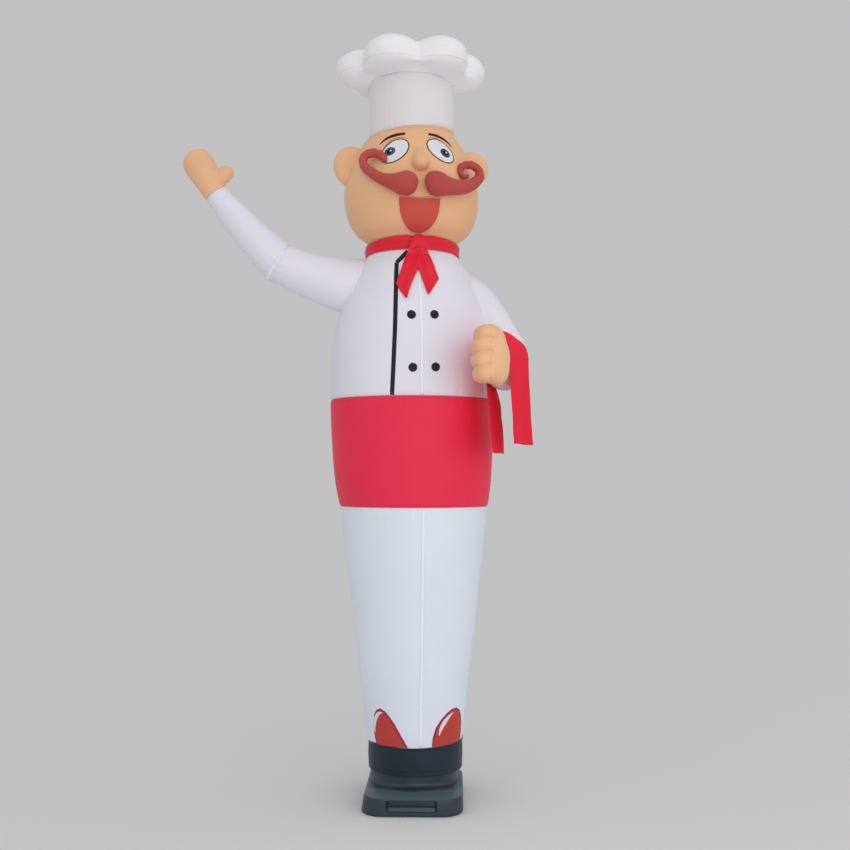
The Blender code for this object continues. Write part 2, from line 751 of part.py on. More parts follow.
def towel():
    """A thin cloth over the bent arm, hanging on both sides of it."""
    places = [j / TOWEL_ACROSS for j in range(TOWEL_ACROSS + 1)]
    lines = []
    for near, far, ripple in reversed(tail_edges(OUTER_TAIL, TOWEL_OUTER_TURN)):
        lines.append([near.lerp(far, place) for place in places] + [ripple])
    for turn in np.linspace(TOWEL_OUTER_TURN, TOWEL_INNER_TURN, TOWEL_ARC_STEPS):
        lines.append([towel_arc_point(turn, place) for place in places] + [0.0])
    for near, far, ripple in tail_edges(INNER_TAIL, TOWEL_INNER_TURN):
        lines.append([near.lerp(far, place) for place in places] + [ripple])

    middles = np.array([line[TOWEL_ACROSS // 2] for line in lines])
    grid = np.array([[list(point) for point in line[:-1]] for line in lines])
    keys = path_keys(middles)
    at = np.linspace(0, keys[-1], TOWEL_ROWS)
    surface = smooth_curve(keys, grid, at)
    ripples = smooth_curve(keys, [line[-1] for line in lines], at)
    ways = np.gradient(surface, at, axis=0)
    rings = []
    for spots, directions, ripple in zip(surface, ways, ripples):
        across = Vector(spots[-1] - spots[0]).normalized()
        back = []
        front = []
        for j in range(TOWEL_ACROSS + 1):
            share = 2 * j / TOWEL_ACROSS - 1
            out = Vector(directions[j]).cross(across).normalized()
            wave = ripple * sin(share * pi * TOWEL_FOLDS / 2 + TOWEL_FOLD_START)
            spot = Vector(spots[j]) + out * wave
            back.append(spot - out * CLOTH_THICKNESS / 2)
            front.append(spot + out * CLOTH_THICKNESS / 2)
        rings.append(back + front[::-1])
    return object_from("towel", skin(rings), "red_fabric")


def build():
    clear_scene()
    frame = blower_frame()
    blower_base(frame)
    blower_tower(frame)
    cable_gland(frame)
    cuff()

    body_band("trousers", TROUSERS_BOTTOM, APRON_BOTTOM, TROUSERS_RINGS, "white_fabric")
    body_band("apron", APRON_BOTTOM + GAP, JACKET_BOTTOM, APRON_RINGS, "red_fabric")
    jacket_span = (JACKET_BOTTOM + GAP, HEAD_BOTTOM, JACKET_RINGS)
    head_span = (HEAD_BOTTOM + GAP, BAND_BOTTOM, HEAD_RINGS)
    body_band("jacket", *jacket_span, "white_fabric")
    body_band("head", *head_span, "skin_fabric")
    body_band("hat_band", BAND_BOTTOM + GAP, CROWN_BOTTOM - GAP, BAND_RINGS, "white_fabric")
    hat_crown()
    torso = body_cutter("torso_cutter", *jacket_span)
    head = body_cutter("head_cutter", *head_span)

    upper = limb("sleeve_raised_upper", RAISED_ARM, "white_fabric", FORWARD, 0, ELBOW_ROW)
    boolean(upper, torso)
    limb("sleeve_raised_fore", RAISED_ARM, "white_fabric", FORWARD, ELBOW_ROW, WRIST_ROW)
    raised_hand()
    bent = limb("sleeve_bent", BENT_ARM, "white_fabric", UPWARD)
    boolean(bent, torso)
    sleeve_end = limb("sleeve_cutter", BENT_ARM, None, UPWARD, BENT_FOREARM_ROW, grow=FIST_GAP)
    fist(as_cutter(sleeve_end))

    ear("ear_left", -1, head)
    ear("ear_right", 1, head)
    nose(head)
    whisker("moustache_left", LEFT_WHISKER, head)
    whisker("moustache_right", RIGHT_WHISKER, head)

    scarf_band()
    ellipsoid("scarf_knot", KNOT_CENTRE, KNOT_HALF, "red_fabric", 16, 10)
    grown = KNOT_HALF + Vector((GAP, GAP, GAP))
    knot = as_cutter(ellipsoid("knot_cutter", KNOT_CENTRE, grown, None, 16, 10))
    scarf_tail("scarf_tail_left", LEFT_TAIL, knot)
    scarf_tail("scarf_tail_right", RIGHT_TAIL, knot)
    towel()


build()
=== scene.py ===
# Inflatable air dancer: a cook in white on a black blower. Metres, +Z up, facing -Y.
from math import cos, hypot, pi, radians, sin

import bmesh
import bpy
import numpy as np
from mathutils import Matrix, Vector


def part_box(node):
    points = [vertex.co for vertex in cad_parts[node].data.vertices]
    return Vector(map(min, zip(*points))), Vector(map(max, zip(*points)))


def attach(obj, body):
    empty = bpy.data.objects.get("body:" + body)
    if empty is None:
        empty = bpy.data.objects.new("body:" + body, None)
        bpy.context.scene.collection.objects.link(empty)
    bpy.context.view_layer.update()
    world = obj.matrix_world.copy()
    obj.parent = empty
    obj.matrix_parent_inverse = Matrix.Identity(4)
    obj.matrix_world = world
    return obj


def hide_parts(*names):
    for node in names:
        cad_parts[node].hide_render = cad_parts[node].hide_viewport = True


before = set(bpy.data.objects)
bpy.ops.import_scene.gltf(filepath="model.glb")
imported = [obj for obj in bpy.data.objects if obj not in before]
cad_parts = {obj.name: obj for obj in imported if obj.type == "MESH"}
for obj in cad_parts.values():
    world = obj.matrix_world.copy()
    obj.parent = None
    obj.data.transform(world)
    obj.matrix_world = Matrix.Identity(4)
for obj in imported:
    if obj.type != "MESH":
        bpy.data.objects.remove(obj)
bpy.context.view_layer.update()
print("frame loaded")

# tools that several pieces use


def smoothCurve(keys, values, at, even=False):
    # cubic through the given values; even keeps it from overshooting
    keys, values, at = (np.asarray(part, float) for part in (keys, values, at))
    if even:
        steps = np.diff(values, axis=0) / np.diff(keys)
        before, after = steps[:-1], steps[1:]
        total = np.where(before + after == 0, 1.0, before + after)
        inner = np.where(before * after > 0, 2 * before * after / total, 0.0)
        slopes = np.concatenate([steps[:1], inner, steps[-1:]])
    else:
        slopes = np.gradient(values, keys, axis=0)
    i = np.clip(np.searchsorted(keys, at) - 1, 0, len(keys) - 2)
    span = keys[i + 1] - keys[i]
    t = (at - keys[i]) / span
    if values.ndim > 1:
        span, t = span[..., None], t[..., None]
    low = (1 + 2 * t) * (1 - t) ** 2 * values[i] + t * (1 - t) ** 2 * span * slopes[i]
    return low + t * t * (3 - 2 * t) * values[i + 1] + t * t * (t - 1) * span * slopes[i + 1]


def dip(distance, reach):
    return np.exp(-(distance / reach) ** 2)


def fade(distance, reach):
    return np.exp(-np.abs(distance) / reach)


def smoothStep(values, low=0.0, high=1.0):
    t = np.clip((values - low) / (high - low), 0, 1)
    return t * t * (3 - 2 * t)


def ripples(turn, counts, phase):
    # an uneven wave that closes on itself round a tube
    wave = sum(np.sin(count * turn + phase * (k + 1.7)) for k, count in enumerate(counts))
    return wave / len(counts)


def turnFrom(edge, turn):
    # the shorter way round from an edge to a turn
    return np.mod(turn - edge + pi, 2 * pi) - pi


def together(*parts):
    # coordinates made apart, as one array of points
    return np.stack(np.broadcast_arrays(*parts), -1)


def unit(ways):
    return ways / np.linalg.norm(ways, axis=-1, keepdims=True)


def runOf(points):
    # how far along a line each of its points lies
    return np.concatenate([[0], np.cumsum(np.linalg.norm(np.diff(points, axis=0), axis=1))])


def readAt(values, keys, at):
    # each column of a table read at the given places
    return np.stack([np.interp(at, keys, part) for part in values.T], -1)


def beforeLine(distance, reach):
    # 1 before a line and 0 beyond it
    return 1 / (1 + np.exp(distance / reach))


def newObject(name, mesh):
    piece = bpy.data.objects.new(name, mesh)
    bpy.context.scene.collection.objects.link(piece)
    return piece


def closeUp(mesh, merge=1e-6, caps=True):
    # merges the wrap-around edge, caps open ends and turns the faces outwards
    bm = bmesh.new()
    bm.from_mesh(mesh)
    bmesh.ops.remove_doubles(bm, verts=bm.verts, dist=merge)
    rim = [edge for edge in bm.edges if edge.is_boundary]
    if rim and caps:
        bmesh.ops.holes_fill(bm, edges=rim, sides=0)
    bmesh.ops.recalc_face_normals(bm, faces=bm.faces)
    bm.to_mesh(mesh)
    bm.free()


def gridMesh(name, points, flat):
    # a sheet of quads over rows of points, with its flat size in metres as its UV map
    rows, columns = points.shape[:2]
    index = np.arange(rows * columns).reshape(rows, columns)
    quads = np.stack([index[:-1, :-1], index[:-1, 1:], index[1:, 1:], index[1:, :-1]], -1)
    mesh = bpy.data.meshes.new(name)
    mesh.from_pydata(points.reshape(-1, 3).tolist(), [], quads.reshape(-1, 4).tolist())
    corners = np.empty(len(mesh.loops), np.int32)
    mesh.loops.foreach_get("vertex_index", corners)
    layer = mesh.uv_layers.new(name="clothMap")
    layer.data.foreach_set("uv", flat.reshape(-1, 2)[corners].ravel())
    return mesh


def settle(piece):
    # turns a piece with its modifiers into a plain mesh
    evaluated = piece.evaluated_get(bpy.context.evaluated_depsgraph_get())
    mesh = bpy.data.meshes.new_from_object(evaluated)
    piece.modifiers.clear()
    piece.data = mesh
    return piece


def dress(piece, material, slot, *nodes):
    # smooth shading, its finish, and its place on the body
    piece.data.materials.clear()
    piece.data.materials.append(material)
    piece.data.shade_smooth()
    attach(piece, "root")
    if nodes:
        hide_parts(*nodes)
    return piece


def closedPiece(name, points, flat, material, slot, *nodes, merge=1e-6):
    # a filled form from rows of points round it
    piece = newObject(name, gridMesh(name, points, flat))
    closeUp(piece.data, merge)
    return dress(piece, material, slot, *nodes)


def thicken(piece, thickness):
    solid = piece.modifiers.new("thickness", "SOLIDIFY")
    solid.thickness = thickness
    solid.offset = 1.0
    return settle(piece)


def fromAxis(spot):
    # the way out of the upright tube
    return spot * (1, 1, 0)


def clothPiece(name, points, flat, thickness, outward):
    # cloth from rows of points on its inner side; outward tells a point's way out
    piece = newObject(name, gridMesh(name, points, flat))
    closeUp(piece.data, caps=False)
    face = piece.data.polygons[len(piece.data.polygons) // 2]
    if face.normal.dot(Vector(outward(np.array(face.center)))) < 0:
        piece.data.flip_normals()
    return thicken(piece, thickness)


# the camera

view = {
    "distance": 5.43,
    "height": 1.54,
    "azimuth": radians(-7.0),
    "aim": radians(-0.555),
    "lens": 48.11,
    "rise": 49 / 850,  # the lens's shift, as a share of its frame
}
cameraData = bpy.data.cameras.new("camera")
camera = newObject("camera", cameraData)
cameraData.sensor_width = 36
cameraData.lens = view["lens"]
cameraData.shift_y = view["rise"]
camera.location = (
    view["distance"] * sin(view["azimuth"]),
    -view["distance"] * cos(view["azimuth"]),
    view["height"],
)
camera.rotation_euler = (radians(90), 0, view["azimuth"] + view["aim"])
bpy.context.scene.camera = camera
bpy.context.scene.view_settings.view_transform = "Standard"

# finishes


def feed(tree, node, values):
    # each socket gets a value of its own or another node's output
    for socket, value in values.items():
        if isinstance(value, bpy.types.NodeSocket):
            tree.links.new(value, node.inputs[socket])
        else:
            node.inputs[socket].default_value = value
    return node


def addNode(tree, kind, values):
    return feed(tree, tree.nodes.new(kind), values)


def mathNode(tree, operation, *values):
    node = tree.nodes.new("ShaderNodeMath")
    node.operation = operation
    return feed(tree, node, dict(enumerate(values))).outputs[0]


def newFinish(name, roughness):
    material = bpy.data.materials.new(name)
    material.use_nodes = True
    shader = material.node_tree.nodes["Principled BSDF"]
    shader.inputs["Roughness"].default_value = roughness
    return material, material.node_tree, shader


def noiseOn(tree, place, scale, detail, roughness=0.5, distortion=0.0):
    noise = addNode(tree, "ShaderNodeTexNoise", {
        "Vector": place.outputs["Object"],
        "Scale": scale,
        "Detail": detail,
        "Roughness": roughness,
        "Distortion": distortion,
    })
    return noise.outputs["Fac"]


def toneOf(tree, share, low, high, reach=(0.0, 1.0)):
    # runs from one colour to another
    ramp = addNode(tree, "ShaderNodeValToRGB", {"Fac": share})
    for stop, colour, place in zip(ramp.color_ramp.elements, (low, high), reach):
        stop.position = place
        stop.color = (*colour, 1)
    return ramp.outputs["Color"]


def bumpOf(tree, height, strength, depth, under=None):
    values = {"Height": height, "Strength": strength, "Distance": depth}
    if under is not None:
        values["Normal"] = under
    return addNode(tree, "ShaderNodeBump", values).outputs["Normal"]


weave = {
    "toneScale": 2.6,
    "toneDetail": 3,
    "toneReach": (0.32, 0.66),
    "crease": (17, 5, 0.55, 0.6),  # scale, detail, roughness, distortion
    "creaseDepth": 0.004,
    "cordScale": 52,
    "cordSharpness": 9,
    "cordDepth": 0.0008,
    "sheenRoughness": 0.45,
}


def nylon(name, colour, shade, roughness=0.45, sheen=0.12, crinkle=0.25, ripstop=0.10, gloss=0.45):
    # thin coated cloth: a ripstop grid, a fine crinkle and a slow change of tone
    material, tree, shader = newFinish(name, roughness)
    place = tree.nodes.new("ShaderNodeTexCoord")
    slow = noiseOn(tree, place, weave["toneScale"], weave["toneDetail"])
    crease = noiseOn(tree, place, *weave["crease"])
    cords = []
    for direction in ("X", "Y"):
        wave = addNode(tree, "ShaderNodeTexWave", {
            "Vector": place.outputs["UV"],
            "Scale": weave["cordScale"],
        })
        wave.bands_direction = direction
        cords.append(mathNode(tree, "POWER", wave.outputs["Fac"], weave["cordSharpness"]))
    grid = mathNode(tree, "MAXIMUM", *cords)
    creased = bumpOf(tree, crease, crinkle, weave["creaseDepth"])
    feed(tree, shader, {
        "Base Color": toneOf(tree, slow, shade, colour, weave["toneReach"]),
        "Normal": bumpOf(tree, grid, ripstop, weave["cordDepth"], creased),
        "Sheen Weight": sheen,
        "Sheen Roughness": weave["sheenRoughness"],
        "Specular IOR Level": gloss,
    })
    return material


def printInk(name, colour, gloss=0.2):
    # ink in the cloth: the weave shows through it and its tone is a little uneven
    worn = tuple(0.90 * part + 0.004 for part in colour)
    return nylon(name, colour, worn, roughness=0.5, sheen=0.0, crinkle=0.15, gloss=gloss)


thread = {
    "roughness": 0.6,
    "sheen": 0.2,
    "twistScale": 900,
    "twistDetail": 1,
    "twistBump": 0.4,
    "twistDepth": 0.0003,
    "shade": 0.8,
}


def threadFinish(name, colour):
    # twisted sewing thread
    material, tree, shader = newFinish(name, thread["roughness"])
    place = tree.nodes.new("ShaderNodeTexCoord")
    twist = noiseOn(tree, place, thread["twistScale"], thread["twistDetail"])
    shade = tuple(thread["shade"] * part for part in colour)
    feed(tree, shader, {
        "Base Color": toneOf(tree, twist, shade, colour),
        "Normal": bumpOf(tree, twist, thread["twistBump"], thread["twistDepth"]),
        "Sheen Weight": thread["sheen"],
    })
    return material


plastic = {
    "roughness": 0.42,
    "grainScale": 420,
    "grainDetail": 2,
    "grainBump": 0.25,
    "grainDepth": 0.0006,
    "scuffScale": 9,
    "scuffDetail": 6,
    "scuffReach": (0.45, 0.75),
    "paintedHighlightAway": (0.252, 0.276),  # how far from the middle, and how high, the painted highlight on the top begins and is full
    "paintedHighlightHeight": (0.0775, 0.0835),
    "paintedHighlightColour": (0.070, 0.110, 0.130),
# the pale colour of the painted highlight
}


def mouldedPlastic(name, colour, worn, paintedHighlight=False):
    # grained blow-moulded plastic, paler where it is scuffed, and with a painted highlight along its top if
    # asked
    material, tree, shader = newFinish(name, plastic["roughness"])
    place = tree.nodes.new("ShaderNodeTexCoord")
    grain = noiseOn(tree, place, plastic["grainScale"], plastic["grainDetail"])
    scuffs = noiseOn(tree, place, plastic["scuffScale"], plastic["scuffDetail"])
    tone = toneOf(tree, scuffs, colour, worn, plastic["scuffReach"])
    feed(tree, shader, {
        "Base Color": paintedHighlightOver(tree, place, tone) if paintedHighlight else tone,
        "Normal": bumpOf(tree, grain, plastic["grainBump"], plastic["grainDepth"]),
    })
    return material


def paintedHighlightOver(tree, place, tone):
    # a paler colour laid over a tone as a painted highlight, on what lies both high enough and far enough
    # from the middle
    flat = tree.nodes.new("ShaderNodeVectorMath")
    flat.operation = "MULTIPLY"
    feed(tree, flat, {0: place.outputs["Object"], 1: (1, 1, 0)})
    away = tree.nodes.new("ShaderNodeVectorMath")
    away.operation = "LENGTH"
    feed(tree, away, {0: flat.outputs[0]})
    axes = addNode(tree, "ShaderNodeSeparateXYZ", {0: place.outputs["Object"]})
    shares = []
    for value, reach in ((away.outputs["Value"], "paintedHighlightAway"), (axes.outputs["Z"], "paintedHighlightHeight")):
        low, high = plastic[reach]
        ramp = tree.nodes.new("ShaderNodeMapRange")
        ramp.interpolation_type = "SMOOTHSTEP"
        feed(tree, ramp, {"Value": value, "From Min": low, "From Max": high})
        shares.append(ramp.outputs["Result"])
    blend = tree.nodes.new("ShaderNodeMix")
    blend.data_type = "RGBA"
    clean, highlightInput = [socket for socket in blend.inputs if socket.type == "RGBA"]
    tree.links.new(mathNode(tree, "MULTIPLY", *shares), blend.inputs["Factor"])
    tree.links.new(tone, clean)
    # the painted highlight's pale colour
    highlightInput.default_value = (*plastic["paintedHighlightColour"], 1)
    return [socket for socket in blend.outputs if socket.type == "RGBA"][0]


whiteTrouserNylon = nylon("whiteTrouserNylon", (0.82, 0.885, 0.985), (0.78, 0.845, 0.96))
whiteJacketNylon = nylon("whiteJacketNylon", (0.86, 0.845, 0.94), (0.82, 0.805, 0.905))
whiteHatNylon = nylon("whiteHatNylon", (0.86, 0.825, 0.855), (0.83, 0.79, 0.82), roughness=0.34)
# the crown's nylon is the hat's white painted paler: painted light for the brighter light that falls on the
# crown
whiteCrownNylonPaintedLight = nylon("whiteCrownNylonPaintedLight", (0.965, 0.955, 1.0), (0.945, 0.935, 0.98), roughness=0.30)
redApronNylon = nylon("redApronNylon", (0.93, 0.040, 0.098), (0.87, 0.031, 0.080), sheen=0.0, gloss=0.16)
redScarfCloth = nylon("redScarfCloth", (0.86, 0.008, 0.034), (0.76, 0.005, 0.026), sheen=0.03, gloss=0.35)
redTowelCloth = nylon("redTowelCloth", (0.98, 0.026, 0.064), (0.92, 0.019, 0.052), roughness=0.8,
                      sheen=0.0, crinkle=0.3, gloss=0.08)
skinNylon = nylon("skinNylon", (0.92, 0.545, 0.305), (0.87, 0.495, 0.262), sheen=0.04, gloss=0.3)
whiskerCloth = nylon("whiskerCloth", (0.58, 0.085, 0.074), (0.48, 0.060, 0.054), roughness=0.55,
                     sheen=0.05, crinkle=0.4, gloss=0.3)
blackCuffCloth = nylon("blackCuffCloth", (0.017, 0.033, 0.052), (0.011, 0.022, 0.036), sheen=0.02,
                       crinkle=0.4, ripstop=0.3, gloss=0.25)
blackPlastic = mouldedPlastic("blackPlastic", (0.019, 0.034, 0.046), (0.034, 0.056, 0.073))
# the foot's plastic carries a pale painted highlight round the edge of its top
footPlastic = mouldedPlastic("footPlastic", (0.019, 0.034, 0.046), (0.034, 0.056, 0.073), paintedHighlight=True)
# the grip pad's paler plastic is painted light on the recess floor
gripPlasticPaintedLight = mouldedPlastic("gripPlasticPaintedLight", (0.080, 0.112, 0.130), (0.105, 0.138, 0.156))
seamTape = nylon("seamTape", (0.95, 0.965, 1.0), (0.93, 0.945, 0.985), roughness=0.3, sheen=0.0)
whiteThread = threadFinish("whiteThread", (0.80, 0.80, 0.86))
redThread = threadFinish("redThread", (0.60, 0.020, 0.045))
skinThread = threadFinish("skinThread", (0.55, 0.28, 0.15))
blackThread = threadFinish("blackThread", (0.030, 0.036, 0.044))
eyeWhiteInk = printInk("eyeWhiteInk", (0.86, 0.86, 0.93))
pupilRingInk = printInk("pupilRingInk", (0.20, 0.21, 0.30))
eyeLineInk = printInk("eyeLineInk", (0.060, 0.024, 0.028))
lidLineInk = printInk("lidLineInk", (0.52, 0.19, 0.14))
pupilInk = printInk("pupilInk", (0.010, 0.012, 0.030), gloss=0.1)
browInk = printInk("browInk", (0.050, 0.018, 0.010), gloss=0.1)
mouthInk = printInk("mouthInk", (0.69, 0.100, 0.071))
mouthEdgeInk = printInk("mouthEdgeInk", (0.90, 0.50, 0.34))
pipingInk = printInk("pipingInk", (0.018, 0.024, 0.034), gloss=0.1)
shoeInk = printInk("shoeInk", (0.58, 0.060, 0.050))
shoeLineInk = printInk("shoeLineInk", (0.38, 0.028, 0.085))
shoeGlintInk = printInk("shoeGlintInk", (0.88, 0.84, 0.88))
print("finishes made")

# the upright tube

tube = {
    "bands": ["trousers", "apron", "jacket", "head", "hat_band"],
    "pinch": 0.003,  # how far the frame draws each band in at its seams
    "columns": 384,
    "rowStep": 0.007,
    "seamDepth": 0.005,
    "seamReach": 0.009,
    "puckerHeight": 0.0016,
    "puckerReach": 0.045,
    "puckerCounts": (53, 71, 38, 97),
    "goreTurns": [0.0, pi / 2, pi, -pi / 2],
    "goreDepth": 0.0022,
    "goreReach": 0.007,
    "gorePucker": 0.35,
    "gorePuckerReach": 0.02,
    "billow": 0.0018,
    "joinTilt": {"head": 0.017},  # how much higher the join above a band is on its right side
}


def ringsOf(node):
    # (height, radius, middle) of each ring of a band of the frame
    spots = np.array([vertex.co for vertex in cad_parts[node].data.vertices])
    found = []
    for height in np.unique(spots[:, 2].round(4)):
        level = spots[np.abs(spots[:, 2] - height) < 1e-4]
        left, right = level[:, 0].min(), level[:, 0].max()
        found.append([height, (right - left) / 2, (right + left) / 2])
    found[0][1] += tube["pinch"]
    found[-1][1] += tube["pinch"]
    return found


profile = []
for node in tube["bands"]:
    profile += ringsOf(node)[1:] if profile else ringsOf(node)
profileHeight, profileRadius, profileMiddle = np.array(profile).T
sewnHeights = [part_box(node)[1].z for node in tube["bands"]]


def tubeRadius(height):
    return smoothCurve(profileHeight, profileRadius, height, even=True)


def tubeMiddle(height):
    return smoothCurve(profileHeight, profileMiddle, height, even=True)


def joinTilt(node):
    return tube["joinTilt"].get(node, 0.0)


def frontSeamShows(height):
    # the front seam runs down the jacket and the trousers, not over the apron or the face
    trousersTop, apronTop, jacketTop = sewnHeights[:3]
    return (height < trousersTop) | ((height > apronTop) & (height < jacketTop))


def tubeFolds(turn, height):
    # how far the cloth stands in or out: seams, the puckers beside them, slow billows
    depth = np.zeros(np.broadcast(turn, height).shape)
    for k, sewn in enumerate(sewnHeights):
        off = height - sewn - joinTilt(tube["bands"][k]) * np.sin(turn)
        depth -= tube["seamDepth"] * dip(off, tube["seamReach"])
        wave = ripples(turn, tube["puckerCounts"], 2.1 + k)
        depth += tube["puckerHeight"] * wave * fade(off, tube["puckerReach"])
    for k, gore in enumerate(tube["goreTurns"]):
        across = turnFrom(gore, turn) * tubeRadius(height)
        wave = np.sin(height * 118 + k) * np.sin(height * 43 + 2 * k)
        pucker = tube["gorePucker"] * tube["puckerHeight"] * wave * fade(across, tube["gorePuckerReach"])
        line = tube["goreDepth"] * dip(across, tube["goreReach"])
        shown = frontSeamShows(height) if gore == 0 else True
        depth += np.where(shown, pucker - line, 0.0)
    slow = np.sin(height * 9.1 + 2 * np.sin(turn * 2)) * np.sin(3 * turn + height * 4.3)
    return depth + tube["billow"] * slow


def tubePoint(turn, height, lift=0.0):
    reach = tubeRadius(height) + tubeFolds(turn, height) + lift
    return together(tubeMiddle(height) + reach * np.sin(turn), -reach * np.cos(turn), height)


def tubeBand(name, node, material, slot):
    low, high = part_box(node)[0].z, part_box(node)[1].z
    rows = int((high - low) / tube["rowStep"]) + 2
    turns = np.linspace(-pi, pi, tube["columns"] + 1)[None, :]
    under = tube["bands"][max(tube["bands"].index(node) - 1, 0)]
    low = low + joinTilt(under) * np.sin(turns)
    high = high + joinTilt(node) * np.sin(turns)
    heights = low + np.linspace(0, 1, rows)[:, None] * (high - low)
    flat = together(turns * tubeRadius(heights), heights)
    return closedPiece(name, tubePoint(turns, heights), flat, material, slot, node)


tubeBand("trouserTube", "trousers", whiteTrouserNylon, "white_fabric")
tubeBand("apronTube", "apron", redApronNylon, "red_fabric")
tubeBand("jacketTube", "jacket", whiteJacketNylon, "white_fabric")
tubeBand("headTube", "head", skinNylon, "skin_fabric")
tubeBand("hatBandTube", "hat_band", whiteHatNylon, "white_fabric")
print("tube sewn")

# prints on the tube, given as places (arc from the front centre, height)


def onTube(arc, height, lift):
    arc, height = np.asarray(arc, float), np.asarray(height, float)
    return tubePoint(arc / tubeRadius(height), height, lift)


prints = {
    "cell": 0.008,
    "thickness": 0.0005,
    "line": 0.0003,  # how high the outline, the ink in it and its shine lie on the cloth
    "ink": 0.0009,
    "shine": 0.0015,
}


def laidOn(name, mesh, thickness, material, slot):
    # a print's faces turned away from the tube, and its thickness
    first = mesh.polygons[0]
    if first.normal.dot(Vector((first.center.x, first.center.y, 0))) < 0:
        mesh.flip_normals()
    return dress(thicken(newObject(name, mesh), thickness), material, slot)


def printPatch(name, outline, lift, material, slot, thickness=prints["thickness"]):
    # a flat outline cut into small cells and laid on the tube
    cell = prints["cell"]
    bm = bmesh.new()
    bm.faces.new([bm.verts.new((arc, height, 0)) for arc, height in outline])
    lows, highs = np.min(outline, axis=0), np.max(outline, axis=0)
    for axis, normal in ((0, (1, 0, 0)), (1, (0, 1, 0))):
        for place in np.arange(lows[axis] + cell / 2, highs[axis], cell):
            spot = [0.0, 0.0, 0.0]
            spot[axis] = place
            everything = bm.verts[:] + bm.edges[:] + bm.faces[:]
            bmesh.ops.bisect_plane(bm, geom=everything, plane_co=spot, plane_no=normal)
    layer = bm.loops.layers.uv.new("clothMap")
    for face in bm.faces:
        for loop in face.loops:
            loop[layer].uv = loop.vert.co.xy
    places = np.array([vert.co for vert in bm.verts])
    for vert, spot in zip(bm.verts, onTube(places[:, 0], places[:, 1], lift)):
        vert.co = spot
    mesh = bpy.data.meshes.new(name)
    bmesh.ops.recalc_face_normals(bm, faces=bm.faces)
    bm.to_mesh(mesh)
    bm.free()
    return laidOn(name, mesh, thickness, material, slot)


def printStroke(name, line, widths, lift, material, slot, steps=40, columns=5):
    # a line of changing width drawn on the tube
    line = np.array(line, float)
    keys = runOf(line)
    at = np.linspace(0, keys[-1], steps)
    path = smoothCurve(keys, line, at)
    width = np.interp(at, keys, widths)
    way = unit(np.gradient(path, at, axis=0))
    side = np.stack([way[:, 1], -way[:, 0]], -1)
    across = np.linspace(-0.5, 0.5, columns)
    flat = path[:, None] + side[:, None] * (across[None, :] * width[:, None])[..., None]
    mesh = gridMesh(name, onTube(flat[..., 0], flat[..., 1], lift), flat)
    return laidOn(name, mesh, prints["thickness"], material, slot)


def ellipse(middle, longHalf, shortHalf, tilt, points=48):
    found = []
    for k in range(points):
        along = longHalf * cos(2 * pi * k / points)
        across = shortHalf * sin(2 * pi * k / points)
        found.append((
            middle[0] + along * cos(tilt) - across * sin(tilt),
            middle[1] + along * sin(tilt) + across * cos(tilt),
        ))
    return found


eyes = {
    "left": {
        "middle": (-0.112, 3.008), "tilt": radians(37), "pupil": (-0.134, 3.007), "pupilTilt": radians(24),
    },
    "right": {
        "middle": (0.109, 3.017), "tilt": radians(-33), "pupil": (0.130, 3.008), "pupilTilt": radians(-30),
    },
    "longHalf": 0.074,
    "shortHalf": 0.045,
    "line": 0.0055,
    "pupilHalf": (0.027, 0.020),
    "rings": [
        (1.0, 0.0015, pupilInk), (0.76, 0.0019, pupilRingInk), (0.62, 0.0023, pupilInk),
    ],  # size, lift and ink
    "glintAway": (0.005, 0.003),
    "glintHalf": (0.0055, 0.0040),
    "glintLift": 0.0027,
    "lid": {
        "left": [(-0.165, 3.030), (-0.130, 3.062), (-0.086, 3.077), (-0.048, 3.070)],
        "right": [(0.048, 3.080), (0.088, 3.080), (0.128, 3.062), (0.164, 3.030)],
    },
    "lidWidths": (0.001, 0.0038, 0.0038, 0.001),
}
for side in ("left", "right"):
    eye = eyes[side]
    longHalf, shortHalf = eyes["longHalf"], eyes["shortHalf"]
    edge = ellipse(eye["middle"], longHalf + eyes["line"], shortHalf + eyes["line"], eye["tilt"])
    printPatch(f"eye_line_{side}", edge, prints["line"], eyeLineInk, "black_fabric")
    white = ellipse(eye["middle"], longHalf, shortHalf, eye["tilt"])
    printPatch(f"eye_white_{side}", white, prints["ink"], eyeWhiteInk, "white_fabric")
    wide, tall = eyes["pupilHalf"]
    for k, (size, lift, ink) in enumerate(eyes["rings"]):
        ring = ellipse(eye["pupil"], wide * size, tall * size, eye["pupilTilt"], 28)
        printPatch(f"pupil_{side}_{k + 1}", ring, lift, ink, "black_fabric")
    spot = (eye["pupil"][0] + eyes["glintAway"][0], eye["pupil"][1] + eyes["glintAway"][1])
    glint = ellipse(spot, *eyes["glintHalf"], eye["pupilTilt"], 16)
    printPatch(f"glint_{side}", glint, eyes["glintLift"], eyeWhiteInk, "white_fabric")
    lid = eyes["lid"][side]
    printStroke(f"lid_line_{side}", lid, eyes["lidWidths"], prints["line"], lidLineInk, "skin_fabric")

brows = {
    "left": [(-0.187, 3.053), (-0.150, 3.078), (-0.105, 3.092), (-0.057, 3.097)],
    "right": [(0.178, 3.052), (0.140, 3.079), (0.098, 3.095), (0.052, 3.100)],
    "widths": (0.004, 0.013, 0.016, 0.013),  # both run from the outer end inwards
}
for side in ("left", "right"):
    printStroke(f"brow_{side}", brows[side], brows["widths"], prints["line"], browInk, "black_fabric")

mouth = {"left": -0.095, "right": 0.094, "top": 2.786, "bottom": 2.645, "edge": 0.006}


